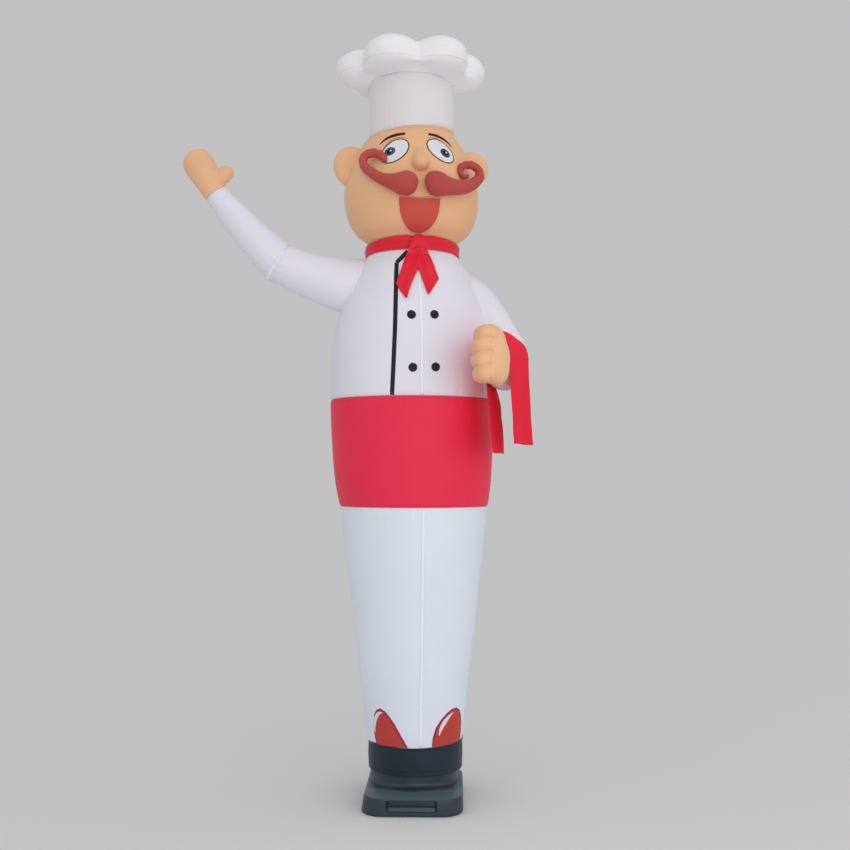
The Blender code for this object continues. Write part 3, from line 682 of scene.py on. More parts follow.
def mouthOutline(grow):
    middle = (mouth["left"] + mouth["right"]) / 2
    half = (mouth["right"] - mouth["left"]) / 2 + grow
    drop = mouth["top"] - mouth["bottom"] + grow
    found = [(middle - half, mouth["top"] + grow), (middle + half, mouth["top"] + grow)]
    for a in np.linspace(0, pi, 33)[1:-1]:
        found.append((middle + half * cos(a), mouth["top"] - drop * sin(a) ** 0.8))
    return found


printPatch("mouth_edge", mouthOutline(mouth["edge"]), prints["line"], mouthEdgeInk, "skin_fabric")
printPatch("mouth", mouthOutline(0), prints["ink"], mouthInk, "whisker_fabric")

jacketTrim = {
    "pipingWidth": 0.020,
    "piping": [(-0.047, 2.562), (-0.104, 2.503), (-0.134, 1.892)],
    "pipingOver": 0.0004,  # the front length lies on the collar's
    "buttonHalf": 0.020,
    "buttonThickness": 0.0012,
    "buttons": [(-0.044, 2.252), (0.061, 2.255), (-0.040, 2.014), (0.063, 2.017)],
    "seamWidth": 0.012,
    "seamLift": 0.0020,
    "seamRuns": [(0.290, 1.380), (1.898, 2.470)],
}
collarLine, frontLine = jacketTrim["piping"][:2], jacketTrim["piping"][1:]
pipingWidths = (jacketTrim["pipingWidth"],) * 2
printStroke("collar_piping", collarLine, pipingWidths, prints["line"], pipingInk, "black_fabric")
printStroke("front_piping", frontLine, pipingWidths, jacketTrim["pipingOver"], pipingInk, "black_fabric",
            steps=90)
for k, spot in enumerate(jacketTrim["buttons"]):
    disc = ellipse(spot, jacketTrim["buttonHalf"], jacketTrim["buttonHalf"], 0, 32)
    printPatch(f"button_{k + 1}", disc, prints["line"], pipingInk, "black_fabric",
               jacketTrim["buttonThickness"])
for k, (low, high) in enumerate(jacketTrim["seamRuns"]):
    printStroke(f"centre_seam_{k + 1}", [(0, low), (0, (low + high) / 2), (0, high)],
                (jacketTrim["seamWidth"],) * 3, jacketTrim["seamLift"], seamTape, "white_fabric", steps=160)

shoes = {
    "left": [(-0.214, 0.283), (-0.236, 0.283), (-0.252, 0.330), (-0.255, 0.380), (-0.246, 0.425),
             (-0.226, 0.450), (-0.200, 0.458), (-0.172, 0.446), (-0.147, 0.422), (-0.122, 0.390),
             (-0.098, 0.350), (-0.077, 0.315), (-0.058, 0.283)],
    "right": [(0.052, 0.283), (0.057, 0.330), (0.072, 0.375), (0.098, 0.410), (0.131, 0.438),
              (0.163, 0.453), (0.194, 0.455), (0.220, 0.440), (0.238, 0.410), (0.248, 0.369),
              (0.249, 0.330), (0.246, 0.283)],
    "toe": 0.283,
    "line": 0.010,
    "glints": {
        "left": [(-0.243, 0.335), (-0.244, 0.375), (-0.233, 0.410), (-0.212, 0.433), (-0.188, 0.441)],
        "right": [(0.088, 0.335), (0.098, 0.365), (0.116, 0.393), (0.140, 0.417), (0.170, 0.437)],
    },
    "glintWidths": (0.004, 0.017, 0.023, 0.015, 0.003),
}


def drawnIn(outline, amount):
    # the outline moved inwards by an amount, but not where it meets the cuff
    spots = np.array(outline, float)
    way = unit(np.roll(spots, -1, axis=0) - np.roll(spots, 1, axis=0))
    inward = np.stack([way[:, 1], -way[:, 0]], -1)
    middle = spots.mean(axis=0)
    inward *= np.sign(((middle - spots) * inward).sum(axis=1))[:, None]
    spots = spots + inward * amount
    spots[:, 1] = np.where(np.array(outline)[:, 1] <= shoes["toe"], shoes["toe"], spots[:, 1])
    return spots.tolist()


for side in ("left", "right"):
    outline, glint = shoes[side], shoes["glints"][side]
    printPatch(f"shoe_line_{side}", outline, prints["line"], shoeLineInk, "red_fabric")
    printPatch(f"shoe_{side}", drawnIn(outline, shoes["line"]), prints["ink"], shoeInk, "red_fabric")
    printStroke(f"shoe_glint_{side}", glint, shoes["glintWidths"], prints["shine"], shoeGlintInk,
                "white_fabric")
print("prints laid")

# arms


def limbFrame(rows, up, samples=240):
    # rows of x, y, z, half width, half depth; the upward way is carried back from the end
    rows = np.array(rows, float)
    keys = runOf(rows[:, :3])
    at = np.linspace(0, keys[-1], samples)
    line = smoothCurve(keys, rows[:, :3], at)
    ways = unit(np.gradient(line, at, axis=0))
    tops = np.zeros_like(ways)
    carried = np.array(up, float)
    for k in range(samples - 1, -1, -1):
        carried = unit(carried - ways[k] * carried.dot(ways[k]))
        tops[k] = carried
    halves = smoothCurve(keys, rows[:, 3:], at)
    return {"keys": keys, "at": at, "line": line, "side": np.cross(ways, tops), "top": tops, "half": halves}


def limbPoint(limb, place, turn, lift=0.0):
    parts = ("line", "side", "top", "half")
    line, side, top, half = (readAt(limb[part], limb["at"], place) for part in parts)
    across = (half[..., 0] + lift) * np.cos(turn)
    deep = (half[..., 1] + lift) * np.sin(turn)
    return line + side * across[..., None] + top * deep[..., None]


def nearestOn(limb, spot):
    return limb["line"][np.argmin(np.linalg.norm(limb["line"] - spot, axis=1))]


sleeves = {
    "columns": 128,
    "tuck": 0.004,
    "seamDepth": 0.0018,
    "seamReach": 0.007,
    "puckerHeight": 0.0016,
    "puckerReach": 0.04,
    "puckerCounts": (9, 14, 21, 17),
    "billow": 0.0018,
    "weltWidth": 0.007,
    "weltLift": 0.0012,
    "weltThickness": 0.0012,
    "weltBeyond": 0.004,  # how far outside the armhole its welt lies
}
sleeveTurns = np.linspace(0, 2 * pi, sleeves["columns"] + 1)


def leavesTube(limb):
    # where along its nearer half each line of a limb comes out of the upright tube
    places = limb["at"]
    spots = limbPoint(limb, places[:, None], sleeveTurns[None, :])
    inside = np.hypot(spots[..., 0] - tubeMiddle(spots[..., 2]), spots[..., 1])
    inside = inside < tubeRadius(spots[..., 2]) - sleeves["tuck"]
    inside &= places[:, None] < 0.5 * places[-1]
    last = inside.shape[0] - 1 - np.argmax(inside[::-1], axis=0)
    return places[np.where(inside.any(axis=0), last, 0)]


def sleevePiece(name, limb, starts, end, folds, node, rows):
    starts = np.broadcast_to(starts, sleeveTurns.shape)[None, :]
    places = starts + np.linspace(0, 1, rows)[:, None] * (end - starts)
    points = limbPoint(limb, places, sleeveTurns[None, :], folds(places, sleeveTurns[None, :]))
    flat = together(limb["half"][:, 0].mean() * sleeveTurns[None, :], places)
    return closedPiece(name, points, flat, whiteJacketNylon, "white_fabric", node)


def sleeveFolds(seams, seed, bend, crease):
    def folds(place, turn):
        depth = np.zeros(np.broadcast(place, turn).shape)
        for k, seam in enumerate(seams):
            off = place - seam
            depth = depth - sleeves["seamDepth"] * dip(off, sleeves["seamReach"])
            wave = ripples(turn, sleeves["puckerCounts"], seed + k)
            depth = depth + sleeves["puckerHeight"] * wave * fade(off, sleeves["puckerReach"])
        squeezed = np.clip(np.cos(turn - crease["turn"]), 0, 1) ** 2
        wave = np.cos(2 * pi * (place - bend) / crease["spacing"] + 0.8 * np.sin(3 * turn + seed))
        depth = depth + crease["height"] * squeezed * wave * dip(place - bend, crease["reach"])
        slow = np.sin(2 * turn + seed + 5.0 * place) * np.sin(7.0 * place + seed)
        return depth + sleeves["billow"] * slow
    return folds


raisedArm = {
    "rows": [
        (-0.100, 0.000, 2.425, 0.125, 0.125),
        (-0.306, 0.000, 2.432, 0.132, 0.130),
        (-0.490, 0.000, 2.475, 0.105, 0.105),
        (-0.600, 0.000, 2.516, 0.0935, 0.093),
        (-0.642, 0.000, 2.536, 0.0925, 0.091),
        (-0.682, 0.000, 2.574, 0.0885, 0.088),
        (-0.833, 0.000, 2.733, 0.072, 0.070),
        (-0.931, 0.000, 2.850, 0.056, 0.054),
        (-0.985, 0.000, 2.940, 0.068, 0.060),
        (-1.011, 0.000, 2.985, 0.072, 0.060),
        (-1.027, 0.000, 3.015, 0.064, 0.052),
        (-1.037, 0.000, 3.033, 0.046, 0.038),
        (-1.042, 0.000, 3.043, 0.018, 0.016),
    ],
    "elbowRow": 4,
    "wristRow": 7,
    "seed": 1.3,
    "crease": {"turn": 0.0, "height": 0.004, "reach": 0.05, "spacing": 0.034},
    "thumb": [
        (-0.965, -0.006, 2.886, 0.030, 0.030),
        (-0.920, -0.010, 2.916, 0.037, 0.034),
        (-0.886, -0.012, 2.942, 0.036, 0.034),
        (-0.866, -0.013, 2.959, 0.026, 0.025),
        (-0.856, -0.013, 2.968, 0.010, 0.010),
    ],
}
raised = limbFrame(raisedArm["rows"], (0, 1, 0))
elbow, wrist = (raised["keys"][raisedArm[row]] for row in ("elbowRow", "wristRow"))
armhole = leavesTube(raised)
raisedFolds = sleeveFolds([elbow, wrist, armhole[None, :]], raisedArm["seed"], elbow, raisedArm["crease"])
foreFolds = sleeveFolds([elbow, wrist], raisedArm["seed"], elbow, raisedArm["crease"])
sleevePiece("raisedSleeveUpper", raised, armhole, elbow, raisedFolds, "sleeve_raised_upper", 110)
sleevePiece("raisedSleeveFore", raised, elbow, wrist, foreFolds, "sleeve_raised_fore", 110)

bentArm = {
    "rows": [
        (0.174, 0.010, 2.414, 0.105, 0.115),
        (0.267, -0.010, 2.362, 0.112, 0.120),
        (0.332, -0.045, 2.279, 0.108, 0.115),
        (0.375, -0.090, 2.187, 0.106, 0.112),
        (0.404, -0.165, 2.100, 0.104, 0.112),
        (0.394, -0.265, 2.050, 0.095, 0.122),
        (0.352, -0.365, 2.048, 0.084, 0.128),
        (0.305, -0.460, 2.050, 0.073, 0.118),
        (0.268, -0.540, 2.055, 0.068, 0.098),
    ],
    "elbowRow": 4,
    "forearmRow": 5,
    "seed": 2.6,
    "crease": {"turn": pi, "height": 0.005, "reach": 0.07, "spacing": 0.04},
}
bent = limbFrame(bentArm["rows"], (0, 0, 1))
bentElbow = bent["keys"][bentArm["elbowRow"]]
bentArmhole = leavesTube(bent)
bentFolds = sleeveFolds([bentArmhole[None, :]], bentArm["seed"], bentElbow, bentArm["crease"])
sleevePiece("bentSleeve", bent, bentArmhole, bent["keys"][-1], bentFolds, "sleeve_bent", 200)


def seamWelt(name, limb, places, folds):
    # the taped seam round a sleeve, seen as a pale line
    rows = np.linspace(-0.5, 0.5, 5)[:, None] * sleeves["weltWidth"]
    rows = rows + np.broadcast_to(places, sleeveTurns.shape)[None, :]
    lift = folds(rows, sleeveTurns[None, :]) + sleeves["weltLift"]
    points = limbPoint(limb, rows, sleeveTurns[None, :], lift)
    flat = together(sleeveTurns[None, :] * 0.1, rows)
    welt = clothPiece(name, points, flat, sleeves["weltThickness"],
                      lambda spot: spot - nearestOn(limb, spot))
    return dress(welt, seamTape, "white_fabric")


seamWelt("elbowWelt", raised, elbow, raisedFolds)
seamWelt("raisedArmholeWelt", raised, armhole + sleeves["weltBeyond"], raisedFolds)
seamWelt("bentArmholeWelt", bent, bentArmhole + sleeves["weltBeyond"], bentFolds)
print("sleeves sewn")

# hands


def boxed(value, power):
    return abs(value) ** power * (1 if value > 0 else -1)


def lump(name, middle, half, across=32, along=20, power=1.0, lean=0.0):
    # a rounded lump; a power under 1 makes it boxier
    bm = bmesh.new()
    bmesh.ops.create_uvsphere(bm, u_segments=across, v_segments=along, radius=1.0)
    for vert in bm.verts:
        flat = max(hypot(vert.co.x, vert.co.y), 1e-6)
        x = boxed(vert.co.x / flat, power) * half[0] * flat ** power
        y = boxed(vert.co.y / flat, power) * half[1] * flat ** power
        z = boxed(vert.co.z, power) * half[2]
        vert.co = Vector((middle[0] + x - lean * z, middle[1] + y, middle[2] + z))
    mesh = bpy.data.meshes.new(name)
    bm.to_mesh(mesh)
    bm.free()
    return newObject(name, mesh)


def handPart(name, rows, first=0):
    # a closed form round a line of the raised hand
    limb = limbFrame(rows, (0, 1, 0))
    places = np.linspace(limb["keys"][first], limb["keys"][-1], 50)[:, None]
    points = limbPoint(limb, places, np.linspace(0, 2 * pi, 33)[None, :])
    piece = newObject(name, gridMesh(name, points, points[..., :2]))
    closeUp(piece.data)
    return piece


def melt(name, parts, voxel, rounds):
    # joins several lumps into one stuffed form with soft hollows between them
    bm = bmesh.new()
    for part in parts:
        bm.from_mesh(part.data)
        bpy.data.objects.remove(part)
    mesh = bpy.data.meshes.new(name)
    bm.to_mesh(mesh)
    bm.free()
    piece = newObject(name, mesh)
    remesh = piece.modifiers.new("voxels", "REMESH")
    remesh.mode = "VOXEL"
    remesh.voxel_size = voxel
    smooth = piece.modifiers.new("soften", "SMOOTH")
    smooth.factor = 0.6
    smooth.iterations = rounds
    finer = piece.modifiers.new("finer", "SUBSURF")
    finer.levels = finer.render_levels = 1
    return settle(piece)


def flatMap(mesh):
    # a plain side-on UV map in metres, for the weave
    corners = np.empty(len(mesh.loops), np.int32)
    mesh.loops.foreach_get("vertex_index", corners)
    spots = spotsOf(mesh)
    flat = np.stack([spots[:, 0] + 0.6 * spots[:, 1], spots[:, 2]], -1)
    mesh.uv_layers.new(name="clothMap").data.foreach_set("uv", flat[corners].ravel())


def spotsOf(mesh, kind="co"):
    found = np.empty(len(mesh.vertices) * 3)
    if kind == "normal":
        mesh.vertex_normals.foreach_get("vector", found)
    else:
        mesh.vertices.foreach_get("co", found)
    return found.reshape(-1, 3)


def pinchAt(mesh, distances, depth, reach):
    # draws a mesh in along a sewn line
    spots = spotsOf(mesh) - spotsOf(mesh, "normal") * (depth * dip(distances, reach))[:, None]
    mesh.vertices.foreach_set("co", spots.ravel())
    mesh.update()


mittenForm = {"voxel": 0.004, "rounds": 6, "seamBack": -0.006, "seamDepth": 0.0022, "seamReach": 0.0035}
palm = handPart("palmForm", raisedArm["rows"], raisedArm["wristRow"])
thumb = handPart("thumbForm", raisedArm["thumb"])
mitten = melt("raisedMitten", [palm, thumb], mittenForm["voxel"], mittenForm["rounds"])
offSeam = spotsOf(mitten.data)[:, 1] - mittenForm["seamBack"]
pinchAt(mitten.data, offSeam, mittenForm["seamDepth"], mittenForm["seamReach"])
flatMap(mitten.data)
dress(mitten, skinNylon, "skin_fabric", "hand_raised")

fistForm = {
    "middle": (0.256, -0.632, 2.050),
    "half": (0.068, 0.090, 0.128),
    "power": 0.72,
    "lean": 0.13,
    "fingerX": 0.214,
    "fingerY": -0.660,
    "fingers": [
        (0.224, 2.128, 0.050, 0.042), (0.214, 2.080, 0.052, 0.042),
        (0.214, 2.021, 0.052, 0.043), (0.218, 1.966, 0.048, 0.042),
    ],  # across, height, half width, half height
    "fingerDepth": 0.078,
    "fingerPower": 0.75,
    "voxel": 0.004,
    "rounds": 30,
    "fingerJoins": [2.108, 2.050, 1.992],
    "joinDepth": 0.0052,
    "joinReach": 0.0060,
    "joinSlope": 0.05,
    "joinBack": 0.03,  # how far behind its middle the joins end
    "palmLine": 0.238,
    "palmSoft": 0.006,
    "backSoft": 0.010,
    "palmDepth": 0.0060,
    "palmReach": 0.009,
    "palmBack": -0.02,
}
fistParts = [
    lump("fistBlock", fistForm["middle"], fistForm["half"], power=fistForm["power"], lean=fistForm["lean"]),
]
for k, (across, height, halfWidth, halfHeight) in enumerate(fistForm["fingers"]):
    spot = (across, fistForm["fingerY"], height)
    half = (halfWidth, fistForm["fingerDepth"], halfHeight)
    fistParts.append(lump(f"finger{k}", spot, half, power=fistForm["fingerPower"]))
fist = melt("bentFist", fistParts, fistForm["voxel"], fistForm["rounds"])
spots = spotsOf(fist.data)
behind = spots[:, 1] - fistForm["middle"][1]
onFingers = beforeLine(spots[:, 0] - fistForm["palmLine"], fistForm["palmSoft"])
onFingers = onFingers * beforeLine(behind - fistForm["joinBack"], fistForm["backSoft"])
for join in fistForm["fingerJoins"]:
    away = spots[:, 2] - join - fistForm["joinSlope"] * (spots[:, 0] - fistForm["fingerX"])
    pinchAt(fist.data, away, fistForm["joinDepth"] * onFingers, fistForm["joinReach"])
onPalm = fistForm["palmDepth"] * beforeLine(behind - fistForm["palmBack"], fistForm["backSoft"])
pinchAt(fist.data, spots[:, 0] - fistForm["palmLine"], onPalm, fistForm["palmReach"])
flatMap(fist.data)
dress(fist, skinNylon, "skin_fabric", "fist")
print("hands stuffed")

# face pieces

ears = {
    "reach": 0.372,
    "bowl": 0.016,
    "bowlMiddle": (0.05, 0.02),
    "bowlFull": 1.25,
    "bowlSlope": 1.6,
    "lean": 0.006,
    "left": {"height": 2.995, "half": (0.092, 0.046, 0.098), "lower": 1.0},
    "right": {"height": 2.995, "half": (0.092, 0.046, 0.092), "lower": 0.78},
}
for side, name in ((-1, "left"), (1, "right")):
    half = ears[name]["half"]
    height = ears[name]["height"]
    middle = (float(tubeMiddle(height)) + side * (ears["reach"] - half[0]), 0.0, height)
    ear = lump(f"earPiece_{name}", middle, half, across=64, along=48)
    bowlX, bowlZ = ears["bowlMiddle"]
    for vert in ear.data.vertices:
        x = (vert.co.x - middle[0]) / half[0] * side
        z = (vert.co.z - middle[2]) / half[2]
        if vert.co.y < 0:
            away = hypot(x - bowlX, z - bowlZ)
            vert.co.y += ears["bowl"] * float(smoothStep(ears["bowlFull"] - ears["bowlSlope"] * away))
        if z < 0:
            vert.co.z = middle[2] + z * half[2] * ears[name]["lower"]
        vert.co.x += side * ears["lean"] * z
    ear.data.update()
    flatMap(ear.data)
    dress(ear, skinNylon, "skin_fabric", f"ear_{name}")

nose = {
    "widest": 2.946,  # its outline is a drop, widest near the bottom
    "halfWidth": 0.040,
    "below": 0.040,
    "above": 0.078,
    "taper": 0.28,
    "stand": 0.058,
    "flatten": 0.80,  # how much lower it stands at its top
    "ridge": 0.10,
    "sink": 0.002,
    "middle": 0.004,
    "rows": 70,
    "columns": 61,
}


def nosePocket():
    share = np.linspace(-1, 1, nose["rows"])[:, None]
    up = np.clip(share, 0, 1) ** 0.8
    heights = nose["widest"] + np.where(share < 0, share * nose["below"], share * nose["above"])
    across = np.linspace(-1, 1, nose["columns"])[None, :]
    halfWidth = nose["halfWidth"] * (1 - nose["taper"] * up)
    arcs = nose["middle"] + across * halfWidth * np.sqrt(np.clip(1 - np.abs(share) ** 2.2, 0, 1))
    bulge = np.sqrt(np.clip(1 - across ** 2, 0, 1)) * np.sqrt(np.clip(1 - share ** 2, 0, 1))
    ridge = nose["ridge"] * np.cos(across * pi / 2) * (1 - np.abs(share))
    front = onTube(arcs, heights, nose["stand"] * (bulge * (1 - nose["flatten"] * up) + ridge))
    back = onTube(arcs, heights, -nose["sink"])
    points = np.concatenate([front, back[:, -2::-1], front[:, :1]], axis=1)
    flat = together(np.arange(points.shape[1])[None, :] * 0.0013, heights)
    piece = closedPiece("nosePiece", points, flat, skinNylon, "skin_fabric", "nose", merge=1e-5)
    return piece


nosePocket()

moustache = {
    "columns": 40,
    "rows": 240,
    "bunched": 0.6,  # how much closer its rows stand at its ends
    "depth": 0.9,
    "curlFrom": 0.45,
    "curlFull": 0.75,
    "wrinkle": 0.0003,
    "curlWrinkle": 0.0013,
    "billow": 0.0008,
    "seamDepth": 0.0026,
    "seamReach": 0.0036,
    "left": [
        (-0.035, -0.338, 2.845, 0.010), (-0.041, -0.342, 2.845, 0.034), (-0.058, -0.346, 2.843, 0.050),
        (-0.088, -0.346, 2.840, 0.054), (-0.135, -0.328, 2.850, 0.038), (-0.181, -0.300, 2.868, 0.027),
        (-0.228, -0.266, 2.904, 0.023), (-0.257, -0.240, 2.938, 0.021), (-0.262, -0.228, 2.968, 0.020),
        (-0.248, -0.228, 2.992, 0.020), (-0.220, -0.236, 3.000, 0.020), (-0.191, -0.250, 2.993, 0.019),
        (-0.172, -0.262, 2.975, 0.017), (-0.167, -0.270, 2.955, 0.010),
    ],
    "right": [
        (0.014, -0.338, 2.850, 0.010), (0.020, -0.342, 2.850, 0.034), (0.036, -0.347, 2.848, 0.050),
        (0.062, -0.348, 2.842, 0.056), (0.112, -0.330, 2.838, 0.043), (0.168, -0.300, 2.841, 0.033),
        (0.217, -0.268, 2.855, 0.029), (0.255, -0.240, 2.882, 0.026), (0.278, -0.225, 2.914, 0.023),
        (0.272, -0.220, 2.945, 0.021), (0.245, -0.222, 2.963, 0.019), (0.213, -0.230, 2.963, 0.018),
        (0.188, -0.243, 2.946, 0.016), (0.183, -0.252, 2.920, 0.014), (0.200, -0.252, 2.902, 0.012),
        (0.222, -0.250, 2.908, 0.008),
    ],
}


def whiskerPiece(name, rows, seed, node):
    rows = np.array(rows, float)
    keys = runOf(rows[:, :3])
    share = np.linspace(0, 1, moustache["rows"])
    along = keys[-1] * (share - np.sin(2 * pi * share) / (2 * pi) * moustache["bunched"])
    line = smoothCurve(keys, rows[:, :3], along)
    half = smoothCurve(keys, rows[:, 3], along)[:, None]
    ways = unit(np.gradient(line, along, axis=0))
    sides = unit(np.cross(ways, unit(fromAxis(line))))
    fronts = np.cross(sides, ways)
    turns = np.linspace(0, 2 * pi, moustache["columns"] + 1)
    share, along = share[:, None], along[:, None]
    curlFrom, curlFull = moustache["curlFrom"], moustache["curlFull"]
    curl = np.clip((share - curlFrom) / (curlFull - curlFrom), 0, 1)  # the cloth crumples where it curls
    wrinkles = np.sin(along * 210 + 4 * np.sin(turns + seed)) * np.sin(3 * turns + along * 55)
    lift = (moustache["wrinkle"] + moustache["curlWrinkle"] * curl) * wrinkles
    lift = lift + moustache["billow"] * np.sin(along * 31 + seed) * np.sin(2 * turns + seed)
    for edge in (0.0, pi):
        gather = 1 + 0.5 * np.sin(along * 520 + edge)
        off = turnFrom(edge, turns) * half
        lift = lift - moustache["seamDepth"] * gather * dip(off, moustache["seamReach"])
    reach = half + lift
    points = (line[:, None]
              + sides[:, None] * (reach * np.cos(turns))[..., None]
              + fronts[:, None] * (reach * moustache["depth"] * np.sin(turns))[..., None])
    flat = together(turns[None, :] * 0.03, along)
    piece = closedPiece(name, points, flat, whiskerCloth, "whisker_fabric", node)
    return piece


whiskerPiece("moustachePiece_left", moustache["left"], 0.4, "moustache_left")
whiskerPiece("moustachePiece_right", moustache["right"], 1.9, "moustache_right")
print("face sewn on")

# hat crown

crown = {
    "lobes": 6,
    "ring": 0.228,
    "halfWidth": 0.128,
    "middle": 3.464,
    "halfHeight": 0.089,
    "centreX": -0.015,
    "footTurn": radians(-99),
    "topTurn": radians(137),
    "fullness": 0.73,  # how round a lobe is in plan
    "soft": 0.035,  # how softly two lobes meet
    "valleyWidth": 0.72,
    "valleyRing": 0.10,
    "valleyTop": 0.46,
    "dimple": 0.045,
    "footBlend": 0.15,  # the share of its length in which it comes away from the band
    "weltTurn": radians(-21),
    "weltHalf": 0.045,
    "footLift": 0.12,
    "footSwing": 0.17,  # its underside hangs lower at the sides than in front
    "leftDrop": 0.14,
    "valleyUnder": 0.95,  # how much fuller the valleys are on its underside
    "valleyLow": 0.38,
    "pleats": 66,
    "pleatHeight": 0.0012,
    "pleatReach": 0.035,
    "billow": 0.0010,
    "weltPucker": 0.0006,
    "weltPuckerReach": 0.02,
    "weltRise": 0.0042,
    "weltSink": 0.0014,
    "weltThickness": 0.0008,
    "footGap": 0.0008,
    "footUnder": 0.003,
    "topRings": (0.75, 0.5, 0.25, 0.08),
    "topSlope": 0.6,
    "columns": 480,
    "rows": 120,
}


def crownSpot(angles, turn, lift=0.0):
    # a point of the puffed ring, by its way round the hat and its turn from the outermost line
    lobe = np.sin(crown["lobes"] / 2 * (angles + pi / 2)) ** 2
    lobe = ((lobe + crown["soft"]) / (1 + crown["soft"])) ** (crown["fullness"] / 2)
    valley = 1 - lobe
    over = smoothStep(np.sin(turn), -0.1, 0.7)
    under = np.clip(-np.sin(turn), 0, 1) ** 2
    width = crown["halfWidth"] * (1 - crown["valleyWidth"] * valley * (1 - crown["valleyUnder"] * under))
    ring = crown["ring"] * (1 - crown["valleyRing"] * valley)
    half = crown["halfHeight"] * (1 - crown["valleyTop"] * valley * over)
    half = half * (1 - (crown["footLift"] + crown["footSwing"] * np.cos(2 * (angles + pi / 2))) * under)
    half = half * (1 - crown["valleyLow"] * valley * under)
    half = half * (1 - crown["leftDrop"] * np.clip(-np.cos(angles), 0, 1) ** 3 * over)
    gather = np.sin(crown["pleats"] * angles + 2 * np.sin(5 * angles))
    fine = crown["pleatHeight"] * gather * fade((turn - crown["footTurn"]) * width, crown["pleatReach"])
    fine = fine + crown["billow"] * np.sin(9 * angles + 3 * np.sin(turn)) * np.sin(4 * turn + 5 * angles)
    offWelt = (turn - crown["weltTurn"]) * width
    fine = fine + crown["weltPucker"] * np.sin(97 * angles + 3) * fade(offWelt, crown["weltPuckerReach"])
    fine = fine + lift
    reach = ring + (width + fine) * np.cos(turn)
    z = crown["middle"] + (half + fine) * np.sin(turn)
    return together(crown["centreX"] + reach * np.cos(angles), reach * np.sin(angles), z)


crownAngles = np.linspace(0, 2 * pi, crown["columns"] + 1)[None, :]


def crownPiece():
    share = np.linspace(0, 1, crown["rows"])[:, None]
    points = crownSpot(crownAngles, crown["footTurn"] + (crown["topTurn"] - crown["footTurn"]) * share)
    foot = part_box("hat_band")[1].z
    radius = float(tubeRadius(foot)) + crown["footGap"]
    # its foot follows its underside, so that no hollow is left behind its lower edge
    footLevel = np.minimum(foot, points[:1, :, 2] - crown["footUnder"])
    x, y = crown["centreX"] + radius * np.cos(crownAngles), radius * np.sin(crownAngles)
    start = together(x, y, footLevel)
    away = smoothStep(share, 0.0, crown["footBlend"])[..., None]
    points = start * (1 - away) + points * away
    centre = np.array([crown["centreX"], 0.0, crown["middle"] + crown["halfHeight"] - crown["dimple"]])
    rings = [points]
    for k in crown["topRings"]:
        rings.append(centre + (points[-1:] - centre) * (k, k, 1 - (1 - k) * crown["topSlope"]))
    points = np.concatenate(rings)
    flat = together(crownAngles * 0.25, np.arange(len(points))[:, None] * 0.006)
    # its paler nylon is painted light
    return closedPiece("hatCrownPuff", points, flat, whiteCrownNylonPaintedLight, "white_fabric", "hat_crown")


def crownWelt():
    # the raised taped seam round the puffed crown; its pale tape is also a painted highlight along the seam
    across = np.linspace(-1, 1, 13)[:, None]
    turn = crown["weltTurn"] + across * crown["weltHalf"]
    lift = crown["weltRise"] * (1 - across ** 2) ** 2 - crown["weltSink"]
    flat = together(crownAngles * 0.3, turn * 0.12)
    points = crownSpot(crownAngles, turn, lift)
    piece = clothPiece("hatCrownWelt", points, flat, crown["weltThickness"], fromAxis)
    return dress(piece, seamTape, "white_fabric")


crownPiece()
crownWelt()
print("hat puffed")

# neckerchief

scarf = {
    "low": 2.573,
    "high": 2.638,
    "radius": 0.2192,
    "sag": (0.005, 0.019),  # how far its lower and upper edges drop at the sides of the neck
    "thickness": 0.0025,
    "rolls": 1.35,
    "rollDepth": 0.0040,
    "bandGap": 0.0025,
    "crumple": 0.0006,
    "crease": 0.0012,
    "knotX": -0.004,
    "knotY": -0.252,
    "knotHeight": 2.600,
    "knotPull": 0.34,  # how far the band is drawn to the height of the knot
    "knotReach": 0.16,
    "knotVoxel": 0.0022,
    "knotRounds": 7,
    "knotParts": [
        (-0.020, 0.012, 0.0240, 0.013, 0.037, -0.40), (0.020, 0.012, 0.0220, 0.013, 0.036, 0.40),
        (0.000, 0.008, 0.0170, 0.013, 0.030, 0.0),
    ],  # across, back, half width, half depth, half height, lean
    "leftTail": [
        (2.592, -0.030, 0.008), (2.560, -0.049, 0.008), (2.515, -0.069, 0.005), (2.480, -0.081, -0.002),
        (2.466, -0.086, -0.009), (2.396, -0.111, -0.041), (2.360, -0.090, -0.053), (2.328, -0.069, -0.063),
    ],  # height, and where its two edges lie, as arcs from the front centre
    "rightTail": [
        (2.592, -0.012, 0.026), (2.560, -0.010, 0.042), (2.515, -0.009, 0.059), (2.480, -0.007, 0.070),
        (2.466, -0.004, 0.074), (2.423, 0.008, 0.088), (2.386, 0.020, 0.063), (2.349, 0.032, 0.040),
    ],
    "tailReach": 0.2399,
    "clearance": 0.0037,
    "tailLift": 0.0045,
    "tailThickness": 0.0022,
    "pleatDepth": 0.0045,
    "ripple": 0.0010,
    "hem": 0.0012,
    "rows": 80,
    "columns": 36,
}


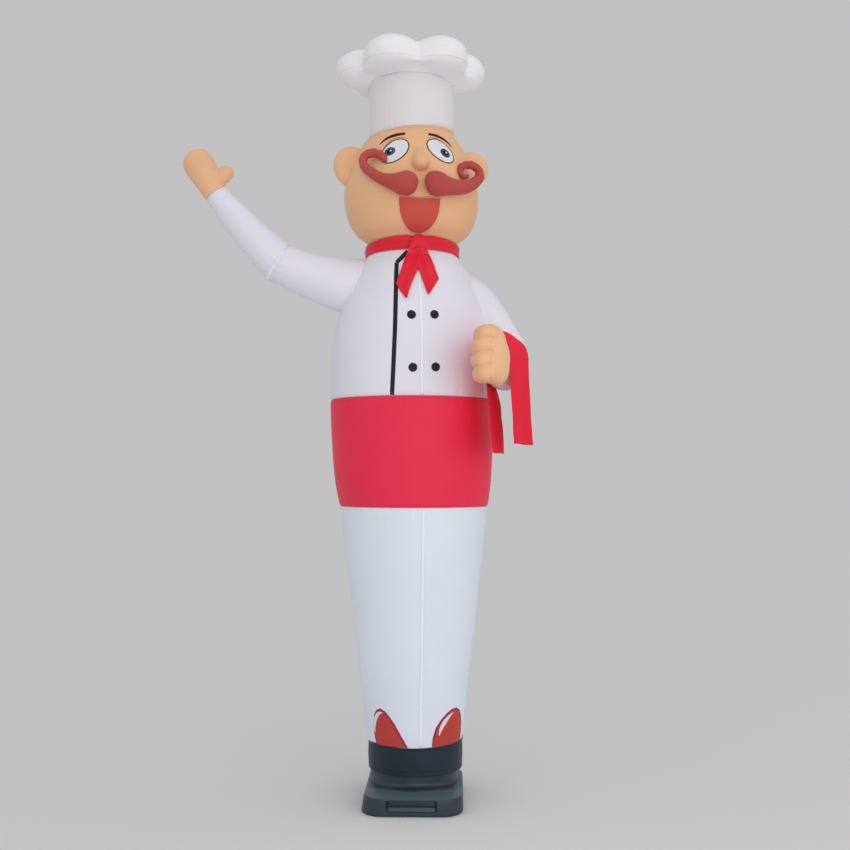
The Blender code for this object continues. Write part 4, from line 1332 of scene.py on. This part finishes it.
def bandPoint(turn, share):
    # share runs from the lower edge, 0, to the upper one, 1
    near = dip(turn, scarf["knotReach"])
    height = scarf["low"] + share * (scarf["high"] - scarf["low"])
    low, high = scarf["sag"]
    height = height - (low + (high - low) * share) * np.sin(turn) ** 2
    height = height + (scarf["knotHeight"] + 0.006 - height) * scarf["knotPull"] * near
    slope = 0.30 + 0.45 * np.abs(np.sin(turn / 2)) + 0.06 * np.sin(3 * turn)
    roll = np.abs(np.sin(pi * (share * scarf["rolls"] + slope))) ** 0.8
    reach = np.maximum(tubeRadius(height) + scarf["bandGap"], scarf["radius"])
    reach = reach + scarf["rollDepth"] * roll * np.sin(pi * np.clip(share, 0.04, 0.96)) ** 0.4
    reach = reach + scarf["crumple"] * ripples(turn, (7, 11, 19), 0.6)
    reach = reach + scarf["crease"] * np.sin(14 * np.abs(turn) - 9 * share) * near
    return together(tubeMiddle(scarf["low"]) + reach * np.sin(turn), -reach * np.cos(turn), height)


turns = np.linspace(-pi, pi, 361)[None, :]
share = np.linspace(0, 1, 34)[:, None]
flat = together(turns * 0.22, share * 0.07)
scarfBand = clothPiece("neckerchiefBand", bandPoint(turns, share), flat, scarf["thickness"], fromAxis)
dress(scarfBand, redScarfCloth, "red_fabric", "scarf_band")

knotParts = []
for k, (across, back, halfX, halfY, halfZ, lean) in enumerate(scarf["knotParts"]):
    spot = (scarf["knotX"] + across, scarf["knotY"] + back, scarf["knotHeight"])
    knotParts.append(lump(f"knotFold{k}", spot, (halfX, halfY, halfZ), power=0.85, lean=lean))
scarfKnot = melt("neckerchiefKnot", knotParts, scarf["knotVoxel"], scarf["knotRounds"])
flatMap(scarfKnot.data)
dress(scarfKnot, redScarfCloth, "red_fabric", "scarf_knot")


def scarfTail(name, rows, seed, over, node):
    rows = np.array(rows)
    keys = rows[0, 0] - rows[:, 0]
    at = np.linspace(0, keys[-1], scarf["rows"])[:, None]
    height, left, right = (np.interp(at, keys, rows[:, k]) for k in range(3))
    column = np.linspace(0, 1, scarf["columns"])[None, :]
    arcs = left + (right - left) * column
    along = at / keys[-1]
    pleat = np.sin(2 * pi * (1.25 * column + seed) + 0.8 * along)
    depth = scarf["pleatDepth"] * pleat * np.sin(pi * np.clip(column, 0.05, 0.95)) ** 0.5
    depth = depth * (0.55 + 0.45 * along) + scarf["ripple"] * np.sin(at * 70 + 9 * column + seed)
    hem = scarf["hem"] * (dip(column, 0.05) + dip(column - 1, 0.05) + dip(along - 1, 0.03))
    close = tubeRadius(height) + scarf["clearance"]
    base = np.maximum(close, scarf["tailReach"] * (1 - along ** 3) + close * along ** 3)
    reach = base + over * (1 - along) + scarf["tailLift"] + depth + hem
    turn = arcs / reach
    points = together(tubeMiddle(height) + reach * np.sin(turn), -reach * np.cos(turn), height)
    piece = clothPiece(name, points, together(arcs, at), scarf["tailThickness"], lambda spot: (0, -1, 0))
    dress(piece, redScarfCloth, "red_fabric", node)
    return piece


scarfTail("neckerchiefTail_left", scarf["leftTail"], 0.10, 0.000, "scarf_tail_left")
scarfTail("neckerchiefTail_right", scarf["rightTail"], 0.62, 0.004, "scarf_tail_right")
print("neckerchief tied")

# towel over the bent arm

towel = {
    "near": 0.76,  # shares of the forearm's length
    "far": -0.11,
    "top": 0.22,
    "topTurn": 0.60,  # the sine of the turn from which its far edge leads back to the fist
    "innerFar": 0.04,
    "outerTurn": radians(-8),
    "innerTurn": radians(236),
    "clear": 0.0062,
    "thickness": 0.003,
    "outer": [
        (0.090, 0.002, 0.000, 0.003, 0.002), (0.180, 0.007, 0.000, 0.007, 0.004),
        (0.270, 0.012, -0.002, 0.012, 0.006), (0.362, 0.018, -0.004, 0.017, 0.008),
    ],  # drop, and how far the near and the far edge swing out: x, y, x, y
    "inner": [
        (0.080, 0.012, -0.004, 0.027, -0.004), (0.155, 0.019, -0.008, 0.035, -0.008),
        (0.230, 0.026, -0.010, 0.042, -0.010), (0.314, 0.032, -0.012, 0.048, -0.012),
    ],
    "folds": 2.5,
    "foldDepth": 0.006,
    "foldFull": 0.36,  # the drop at which the folds are deepest
    "ripple": 0.0016,
    "crumple": 0.0010,
    "hem": 0.0012,
    "places": 9,  # how many points lay out each line across it
    "lines": 16,  # how many such lines go over the arm
    "width": 0.26,
    "rows": 190,
    "columns": 56,
}
towelPlaces = np.linspace(0, 1, towel["places"])


def towelOnArm(turn, share):
    inner = max(0.0, -cos(turn))
    far = towel["far"] * (1 - inner) + towel["innerFar"] * inner
    far = far + (towel["top"] - far) * smoothStep(sin(turn), towel["topTurn"])
    along = towel["near"] + (far - towel["near"]) * share
    row = bentArm["forearmRow"] + along * (len(bentArm["rows"]) - 1 - bentArm["forearmRow"])
    place = np.interp(row, np.arange(len(bentArm["rows"])), bent["keys"])
    line, half = (readAt(bent[part], bent["at"], place) for part in ("line", "half"))
    ahead = readAt(bent["line"], bent["at"], place + 0.002)
    side = unit(np.cross(ahead - line, (0, 0, 1)))
    side *= np.sign(side[0])
    reach = half + towel["clear"] + 0.001 * share * max(0.0, cos(turn))
    return line + side * reach[0] * cos(turn) + np.array((0, 0, reach[1] * sin(turn)))


def towelTail(rows, turn):
    near, far = towelOnArm(turn, 0.0), towelOnArm(turn, 1.0)
    low = min(near[2], far[2])
    found = []
    for drop, nearX, nearY, farX, farY in rows:
        start = np.array((near[0] + nearX, near[1] + nearY, low - drop))
        end = np.array((far[0] + farX, far[1] + farY, low - drop))
        found.append(start + (end - start) * towelPlaces[:, None])
    return found


def towelPiece():
    lines = towelTail(towel["outer"], towel["outerTurn"])[::-1]
    slack = [row[0] for row in towel["outer"]][::-1]
    for turn in np.linspace(towel["outerTurn"], towel["innerTurn"], towel["lines"]):
        lines.append(np.array([towelOnArm(turn, place) for place in towelPlaces]))
        slack.append(0.0)
    lines += towelTail(towel["inner"], towel["innerTurn"])
    slack += [row[0] for row in towel["inner"]]
    grid = np.array(lines)
    keys = runOf(grid[:, len(towelPlaces) // 2])
    at = np.linspace(0, keys[-1], towel["rows"])
    surface = smoothCurve(keys, grid.reshape(len(grid), -1), at).reshape(len(at), -1, 3)
    hanging = np.clip(smoothCurve(keys, slack, at, even=True) / towel["foldFull"], 0, 1)[:, None]
    column = np.linspace(0, 1, towel["columns"])
    points = np.array([readAt(row, towelPlaces, column) for row in surface])
    out = unit(np.cross(np.gradient(points, at, axis=0), np.gradient(points, column, axis=1)))
    along, share = at[:, None], 2 * column[None, :] - 1
    wave = hanging ** 0.8 * towel["foldDepth"] * np.sin(share * pi * towel["folds"] / 2 + 0.6)
    wave = wave + towel["ripple"] * hanging * np.sin(along * 26 + 5 * share)
    wave = wave + towel["crumple"] * np.sin(along * 61 + 9 * share) * np.sin(11 * share + along * 7)
    ends = dip(along, 0.006) + dip(along - keys[-1], 0.006)
    wave = wave + towel["hem"] * (ends + dip(share + 1, 0.05) + dip(share - 1, 0.05))
    flat = together(column[None, :] * towel["width"], along)
    points = points + out * wave[..., None]
    piece = clothPiece("towelCloth", points, flat, towel["thickness"], lambda spot: (1, 0, 0.2))
    return dress(piece, redTowelCloth, "red_fabric", "towel"), keys[-1]


towelCloth, towelLength = towelPiece()
print("towel hung")

# cuff, and the blower under it

cuff = {
    "low": 0.157,
    "high": 0.2807,
    "radius": 0.2190,
    "middleX": 0.007,
    "thickness": 0.003,
    "bulge": 0.0026,
    "lowFront": 0.150,
    "sideRise": 0.008,
    "hem": 0.014,
    "hemDepth": 0.0012,  # its stitched hems are drawn in
    "hemWidth": 0.002,
    "grip": 0.030,  # how much of its top edge draws in to the trousers
    "gripUnder": 0.0012,
    "wave": 0.0014,
    "pucker": 0.0007,
    "stitchesIn": 0.010,
    "strapLow": 0.182,
    "strapHigh": 0.214,
    "strapFrom": radians(118),  # the strap's loose end and where it starts, turns from the front
    "strapTo": radians(205),
    "strapGap": 0.0004,
    "strapThickness": 0.0018,
}


def cuffPoint(turn, height, lift=0.0):
    share = (height - cuff["low"]) / (cuff["high"] - cuff["low"])
    reach = cuff["radius"] + cuff["bulge"] * np.sin(pi * share)
    for edge in (cuff["low"] + cuff["hem"], cuff["high"] - cuff["hem"]):
        reach = reach - cuff["hemDepth"] * dip(height - edge, cuff["hemWidth"])
    height = height + (cuff["lowFront"] - cuff["low"]) * (1 - share)
    height = height + cuff["sideRise"] * np.sin(turn) ** 2 * share
    grip = np.clip((height - cuff["high"] + cuff["grip"]) / cuff["grip"], 0, 1)
    reach = reach + grip * grip * np.maximum(0, tubeRadius(height) - cuff["gripUnder"] - reach)
    reach = reach + cuff["wave"] * ripples(turn, (7, 12, 23), 1.1) * np.sin(pi * share)
    reach = reach + cuff["pucker"] * ripples(turn, (61, 83), 0.2) * fade(share - 1, 0.2) + lift
    return together(cuff["middleX"] + reach * np.sin(turn), -reach * np.cos(turn), height)


def cuffCloth(name, turns, heights, lift, thickness, *nodes):
    turns, heights = turns[None, :], heights[:, None]
    flat = together(turns * cuff["radius"], heights)
    piece = clothPiece(name, cuffPoint(turns, heights, lift), flat, thickness, fromAxis)
    return dress(piece, blackCuffCloth, "black_fabric", *nodes)


cuffBand = cuffCloth("cuffBand", np.linspace(-pi, pi, 289), np.linspace(cuff["low"], cuff["high"], 60),
                     0.0, cuff["thickness"], "cuff")
strap = cuffCloth("cuffStrap", np.linspace(cuff["strapFrom"], cuff["strapTo"], 80),
                  np.linspace(cuff["strapLow"], cuff["strapHigh"], 14),
                  cuff["thickness"] + cuff["strapGap"], cuff["strapThickness"])

blower = {
    "turn": radians(-9),
    "width": 0.466,
    "front": -0.34,
    "back": 0.25,
    "corner": 0.10,
    "draft": 0.055,  # how much its left side leans in up to its shoulder
    "shoulder": 0.088,
    "profile": [
        (0.012, 0.0000), (0.005, 0.0015), (0.0012, 0.005), (0.000, 0.010), (0.000, 0.066),
        (0.001, 0.0730), (0.003, 0.0775), (0.0065, 0.0808), (0.012, 0.0832), (0.020, 0.0850),
        (0.030, 0.0870), (0.046, 0.0902), (0.062, 0.0934), (0.080, 0.0962), (0.100, 0.0975),
    ],  # inset, height
    "topRows": 4,  # its last rows lead from the shoulder over the top
    "sideLevels": [(0.010, 0.046, 37), (0.048, 0.064, 9), (0.065, 0.078, 14)],  # from, to, how many
    "frontSteps": 110,  # fine enough for the hand recess
    "sideSteps": 16,
    "recessHalf": 0.113,
    "recessLow": 0.022,
    "recessHigh": 0.071,
    "recessDepth": 0.032,
    "floorRise": 0.018,
    "lip": 0.003,
    "grip": {
        "half": 0.107, "from": 0.004, "to": 0.021, "lift": 0.0012, "rib": 0.009,
        "ribHeight": 0.0007, "rise": 0.004, "thickness": 0.0015,
    },
    "towerProfile": [
        (0.240, 0.0860), (0.236, 0.0945), (0.2265, 0.0980), (0.2165, 0.1015), (0.2108, 0.1070),
        (0.2086, 0.1160), (0.2080, 0.1420), (0.2080, 0.2600), (0.2070, 0.2800), (0.2010, 0.2810),
    ],  # radius, height
}


def footOutline(inset):
    # the rounded outline of the foot, a corner and then a side at a time
    corner = blower["corner"] - inset / 2
    halfX = blower["width"] / 2 - inset - corner
    halfY = (blower["back"] - blower["front"]) / 2 - inset - corner
    middleY = (blower["front"] + blower["back"]) / 2
    sides = [(1, 1, 0), (-1, 1, 1), (-1, -1, 2), (1, -1, 3)]

    def cornerSpot(side, turn):
        return side[0] * halfX + corner * cos(turn), middleY + side[1] * halfY + corner * sin(turn)

    found = []
    for k, side in enumerate(sides):
        for step in np.linspace(0, 1, blower["sideSteps"] + 1):
            found.append(cornerSpot(side, pi / 2 * (side[2] + step)))
        ahead = sides[(k + 1) % 4]
        start, end = np.array(found[-1]), np.array(cornerSpot(ahead, pi / 2 * ahead[2]))
        count = blower["frontSteps"] if k == 2 else blower["sideSteps"]
        found += [tuple(start + (end - start) * step / count) for step in range(1, count)]
    return np.array(found)


def turned(points):
    x, y, z = np.moveaxis(points, -1, 0)
    turn = blower["turn"]
    return together(x * cos(turn) - y * sin(turn), x * sin(turn) + y * cos(turn), z)


def footRows():
    # the inset of the foot's outline at each height
    insets, levels = np.array(blower["profile"][:-blower["topRows"]]).T
    heights = np.unique(np.concatenate([levels] + [np.linspace(*part) for part in blower["sideLevels"]]))
    return list(zip(np.interp(heights, levels, insets), heights)) + blower["profile"][-blower["topRows"]:]


def blowerFoot():
    lip = blower["lip"]
    rings = []
    for inset, height in footRows():
        outline = footOutline(inset)
        ring = np.column_stack([outline, np.full(len(outline), height)])
        lean = blower["draft"] * height / blower["shoulder"]
        ring[:, 0] = np.where(ring[:, 0] < 0, ring[:, 0] * (1 - lean), ring[:, 0])
        # the hand recess: an upright back, a floor that rises to it, soft lips all round
        atFront = np.abs(ring[:, 1] - (blower["front"] + inset)) < 1e-6
        inside = smoothStep(blower["recessHalf"] - np.abs(ring[:, 0]), -lip, 2 * lip)
        rise = np.clip((height - blower["recessLow"]) / blower["floorRise"], 0, 1)
        roof = 1 - smoothStep(height, blower["recessHigh"] - lip, blower["recessHigh"] + lip)
        ring[:, 1] += np.where(atFront, blower["recessDepth"] * inside * rise * roof, 0.0)
        rings.append(ring)
    points = np.array(rings)
    points = np.concatenate([points, points[:, :1]], axis=1)
    flat = together(np.arctan2(points[..., 1], points[..., 0]) * 0.25, points[..., 2])
    piece = closedPiece("blowerFoot", turned(points), flat, footPlastic, "black_plastic", "blower_base")
    piece.data.set_sharp_from_angle(angle=radians(50))
    return piece


def blowerTower():
    profile = np.array(blower["towerProfile"])
    keys = runOf(profile)
    at = np.linspace(0, keys[-1], 60)[:, None]
    radius, level = (np.interp(at, keys, part) for part in profile.T)
    turns = np.linspace(-pi, pi, 193)[None, :]
    straight = blower["towerProfile"][-3][0]
    flare = np.maximum(radius - straight, 0.0)  # it flares only where the foot has room
    radius = radius - flare * (1 - np.cos(turns) ** 4)
    points = turned(together(radius * np.sin(turns), -radius * np.cos(turns), level))
    flat = together(turns * 0.2, level)
    return closedPiece("blowerTower", points, flat, blackPlastic, "black_plastic", "blower_tower")


def recessGrip():
    # a ribbed pad on the floor of the hand recess, painted paler as painted light for the light that falls
    # on that floor
    grip = blower["grip"]
    across = np.linspace(-1, 1, 97)[None, :] * grip["half"]
    share = np.linspace(0, 1, 13)[:, None]
    depth = grip["from"] + (grip["to"] - grip["from"]) * share
    height = blower["recessLow"] + blower["floorRise"] * depth / blower["recessDepth"] + grip["lift"]
    ribs = np.sin(across * 2 * pi / grip["rib"]) * np.sin(pi * share)
    height = height + grip["ribHeight"] * ribs + grip["rise"] * share ** 2
    points = turned(together(across, blower["front"] + depth, height))
    flat = together(across, depth)
    pad = clothPiece("recessGrip", points, flat, grip["thickness"], lambda spot: (0, 0, 1))
    return dress(pad, gripPlasticPaintedLight, "black_plastic")


blowerFoot()
blowerTower()
recessGrip()
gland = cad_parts["cable_gland"]
gland.data.materials.clear()
gland.data.materials.append(blackPlastic)
print("blower set under it")

# stitches along the seams

stitching = {
    "spacing": 0.0105,
    "length": 0.0062,
    "width": 0.0011,
    "sides": 5,
    "beside": 0.012,  # how far from its seam each run lies, and how high on the cloth
    "lift": 0.0004,
    "cuffLift": 0.0002,
    "steps": 400,
}


def stitchTree():
    # runs along a path and lays one stitch at each step
    tree = bpy.data.node_groups.new("stitchRun", "GeometryNodeTree")
    sockets = {"Geometry": "Geometry", "Spacing": "Float", "Length": "Float", "Width": "Float",
               "Sides": "Int", "Thread": "Material"}
    for name, kind in sockets.items():
        tree.interface.new_socket(name, in_out="INPUT", socket_type=f"NodeSocket{kind}")
    tree.interface.new_socket("Geometry", in_out="OUTPUT", socket_type="NodeSocketGeometry")
    given = tree.nodes.new("NodeGroupInput").outputs
    path = addNode(tree, "GeometryNodeMeshToCurve", {"Mesh": given["Geometry"]})
    steps = tree.nodes.new("GeometryNodeResampleCurve")
    steps.mode = "LENGTH"
    feed(tree, steps, {"Curve": path.outputs["Curve"], "Length": given["Spacing"]})
    ends = []
    for share in (-0.5, 0.5):
        height = mathNode(tree, "MULTIPLY", given["Length"], share)
        ends.append(addNode(tree, "ShaderNodeCombineXYZ", {"Z": height}).outputs[0])
    line = addNode(tree, "GeometryNodeCurvePrimitiveLine", {"Start": ends[0], "End": ends[1]})
    ring = addNode(tree, "GeometryNodeCurvePrimitiveCircle", {
        "Resolution": given["Sides"],
        "Radius": given["Width"],
    })
    stitch = addNode(tree, "GeometryNodeCurveToMesh", {
        "Curve": line.outputs["Curve"],
        "Profile Curve": ring.outputs["Curve"],
        "Fill Caps": True,
    })
    turn = tree.nodes.new("FunctionNodeAlignRotationToVector")
    turn.axis = "Z"
    feed(tree, turn, {"Vector": tree.nodes.new("GeometryNodeInputTangent").outputs["Tangent"]})
    lay = addNode(tree, "GeometryNodeInstanceOnPoints", {
        "Points": steps.outputs["Curve"],
        "Instance": stitch.outputs["Mesh"],
        "Rotation": turn.outputs["Rotation"],
    })
    real = addNode(tree, "GeometryNodeRealizeInstances", {"Geometry": lay.outputs["Instances"]})
    sewn = addNode(tree, "GeometryNodeSetMaterial", {
        "Geometry": real.outputs["Geometry"],
        "Material": given["Thread"],
    })
    addNode(tree, "NodeGroupOutput", {"Geometry": sewn.outputs["Geometry"]})
    return tree


stitchRun = stitchTree()


def stitchPiece(name, paths, thread, slot):
    # one piece from several paths of points
    spots, edges = [], []
    for path in paths:
        first = len(spots)
        spots += np.reshape(path, (-1, 3)).tolist()
        edges += [(k, k + 1) for k in range(first, len(spots) - 1)]
    mesh = bpy.data.meshes.new(name)
    mesh.from_pydata(spots, edges, [])
    piece = newObject(name, mesh)
    run = piece.modifiers.new("stitches", "NODES")
    run.node_group = stitchRun
    values = {
        "Spacing": stitching["spacing"],
        "Length": stitching["length"],
        "Width": stitching["width"] / 2,
        "Sides": stitching["sides"],
        "Thread": thread,
    }
    for socket in stitchRun.interface.items_tree:
        if socket.in_out == "INPUT" and socket.name in values:
            run[socket.identifier] = values[socket.name]
    return dress(settle(piece), thread, slot)


ringTurns = np.linspace(-pi, pi, stitching["steps"])


def seamRing(k, side):
    heights = sewnHeights[k] + side * stitching["beside"] + joinTilt(tube["bands"][k]) * np.sin(ringTurns)
    return tubePoint(ringTurns, heights, stitching["lift"])


def sleeveRing(place, side, folds):
    place = place + side * stitching["beside"] + 0 * sleeveTurns
    return limbPoint(raised, place, sleeveTurns, folds(place, sleeveTurns) + stitching["lift"])


def cuffRing(height):
    return cuffPoint(ringTurns, height + 0 * ringTurns, cuff["thickness"] + stitching["cuffLift"])


stitchPiece("whiteStitches", [
    seamRing(0, -1), seamRing(1, 1), seamRing(3, 1),
    sleeveRing(elbow, -1, raisedFolds), sleeveRing(elbow, 1, foreFolds), sleeveRing(wrist, -1, foreFolds),
], whiteThread, "white_fabric")
stitchPiece("redStitches", [seamRing(0, 1), seamRing(1, -1)], redThread, "red_fabric")
stitchPiece("skinStitches", [seamRing(3, -1)], skinThread, "skin_fabric")
stitchPiece("cuffStitches", [
    cuffRing(cuff["low"] + cuff["stitchesIn"]), cuffRing(cuff["high"] - cuff["stitchesIn"]),
], blackThread, "black_fabric")
print("seams stitched")

# floor and light

studio = {
    "floor": (0.768, 0.768, 0.768),
    "floorReach": 400,
    "air": 0.533,
    "sun": 0.68,
    "sunAngle": radians(130),
    "sunTurn": (radians(44), 0, radians(16)),
    "fill": 90.0,
    "fillSize": 5.5,
    "fillFrom": (0.8, -5.2, 0.95),
    "fillTo": (0.0, 0.0, 2.1),
}
floorMesh = bpy.data.meshes.new("floor")
reach = studio["floorReach"]
floorMesh.from_pydata(
    [(-reach, -reach, 0), (reach, -reach, 0), (reach, reach, 0), (-reach, reach, 0)], [], [(0, 1, 2, 3)]
)
floor = newObject("floor", floorMesh)
paleFloor, floorTree, floorShader = newFinish("paleFloor", 0.9)
feed(floorTree, floorShader, {"Base Color": (*studio["floor"], 1), "Specular IOR Level": 0.0})
floorMesh.materials.append(paleFloor)
world = bpy.data.worlds.new("studioAir")
bpy.context.scene.world = world
world.use_nodes = True
background = world.node_tree.nodes["Background"]
feed(world.node_tree, background, {"Color": (1, 1, 1, 1), "Strength": studio["air"]})
sunData = bpy.data.lights.new("skylight", "SUN")
sunData.energy = studio["sun"]
sunData.angle = studio["sunAngle"]
sun = newObject("skylight", sunData)
sun.rotation_euler = studio["sunTurn"]
fillData = bpy.data.lights.new("softBox", "AREA")
fillData.energy = studio["fill"]
fillData.size = studio["fillSize"]
fill = newObject("softBox", fillData)
fill.location = studio["fillFrom"]
aim = Vector(studio["fillTo"]) - Vector(studio["fillFrom"])
fill.rotation_euler = aim.to_track_quat("-Z", "Y").to_euler()
print("studio lit")
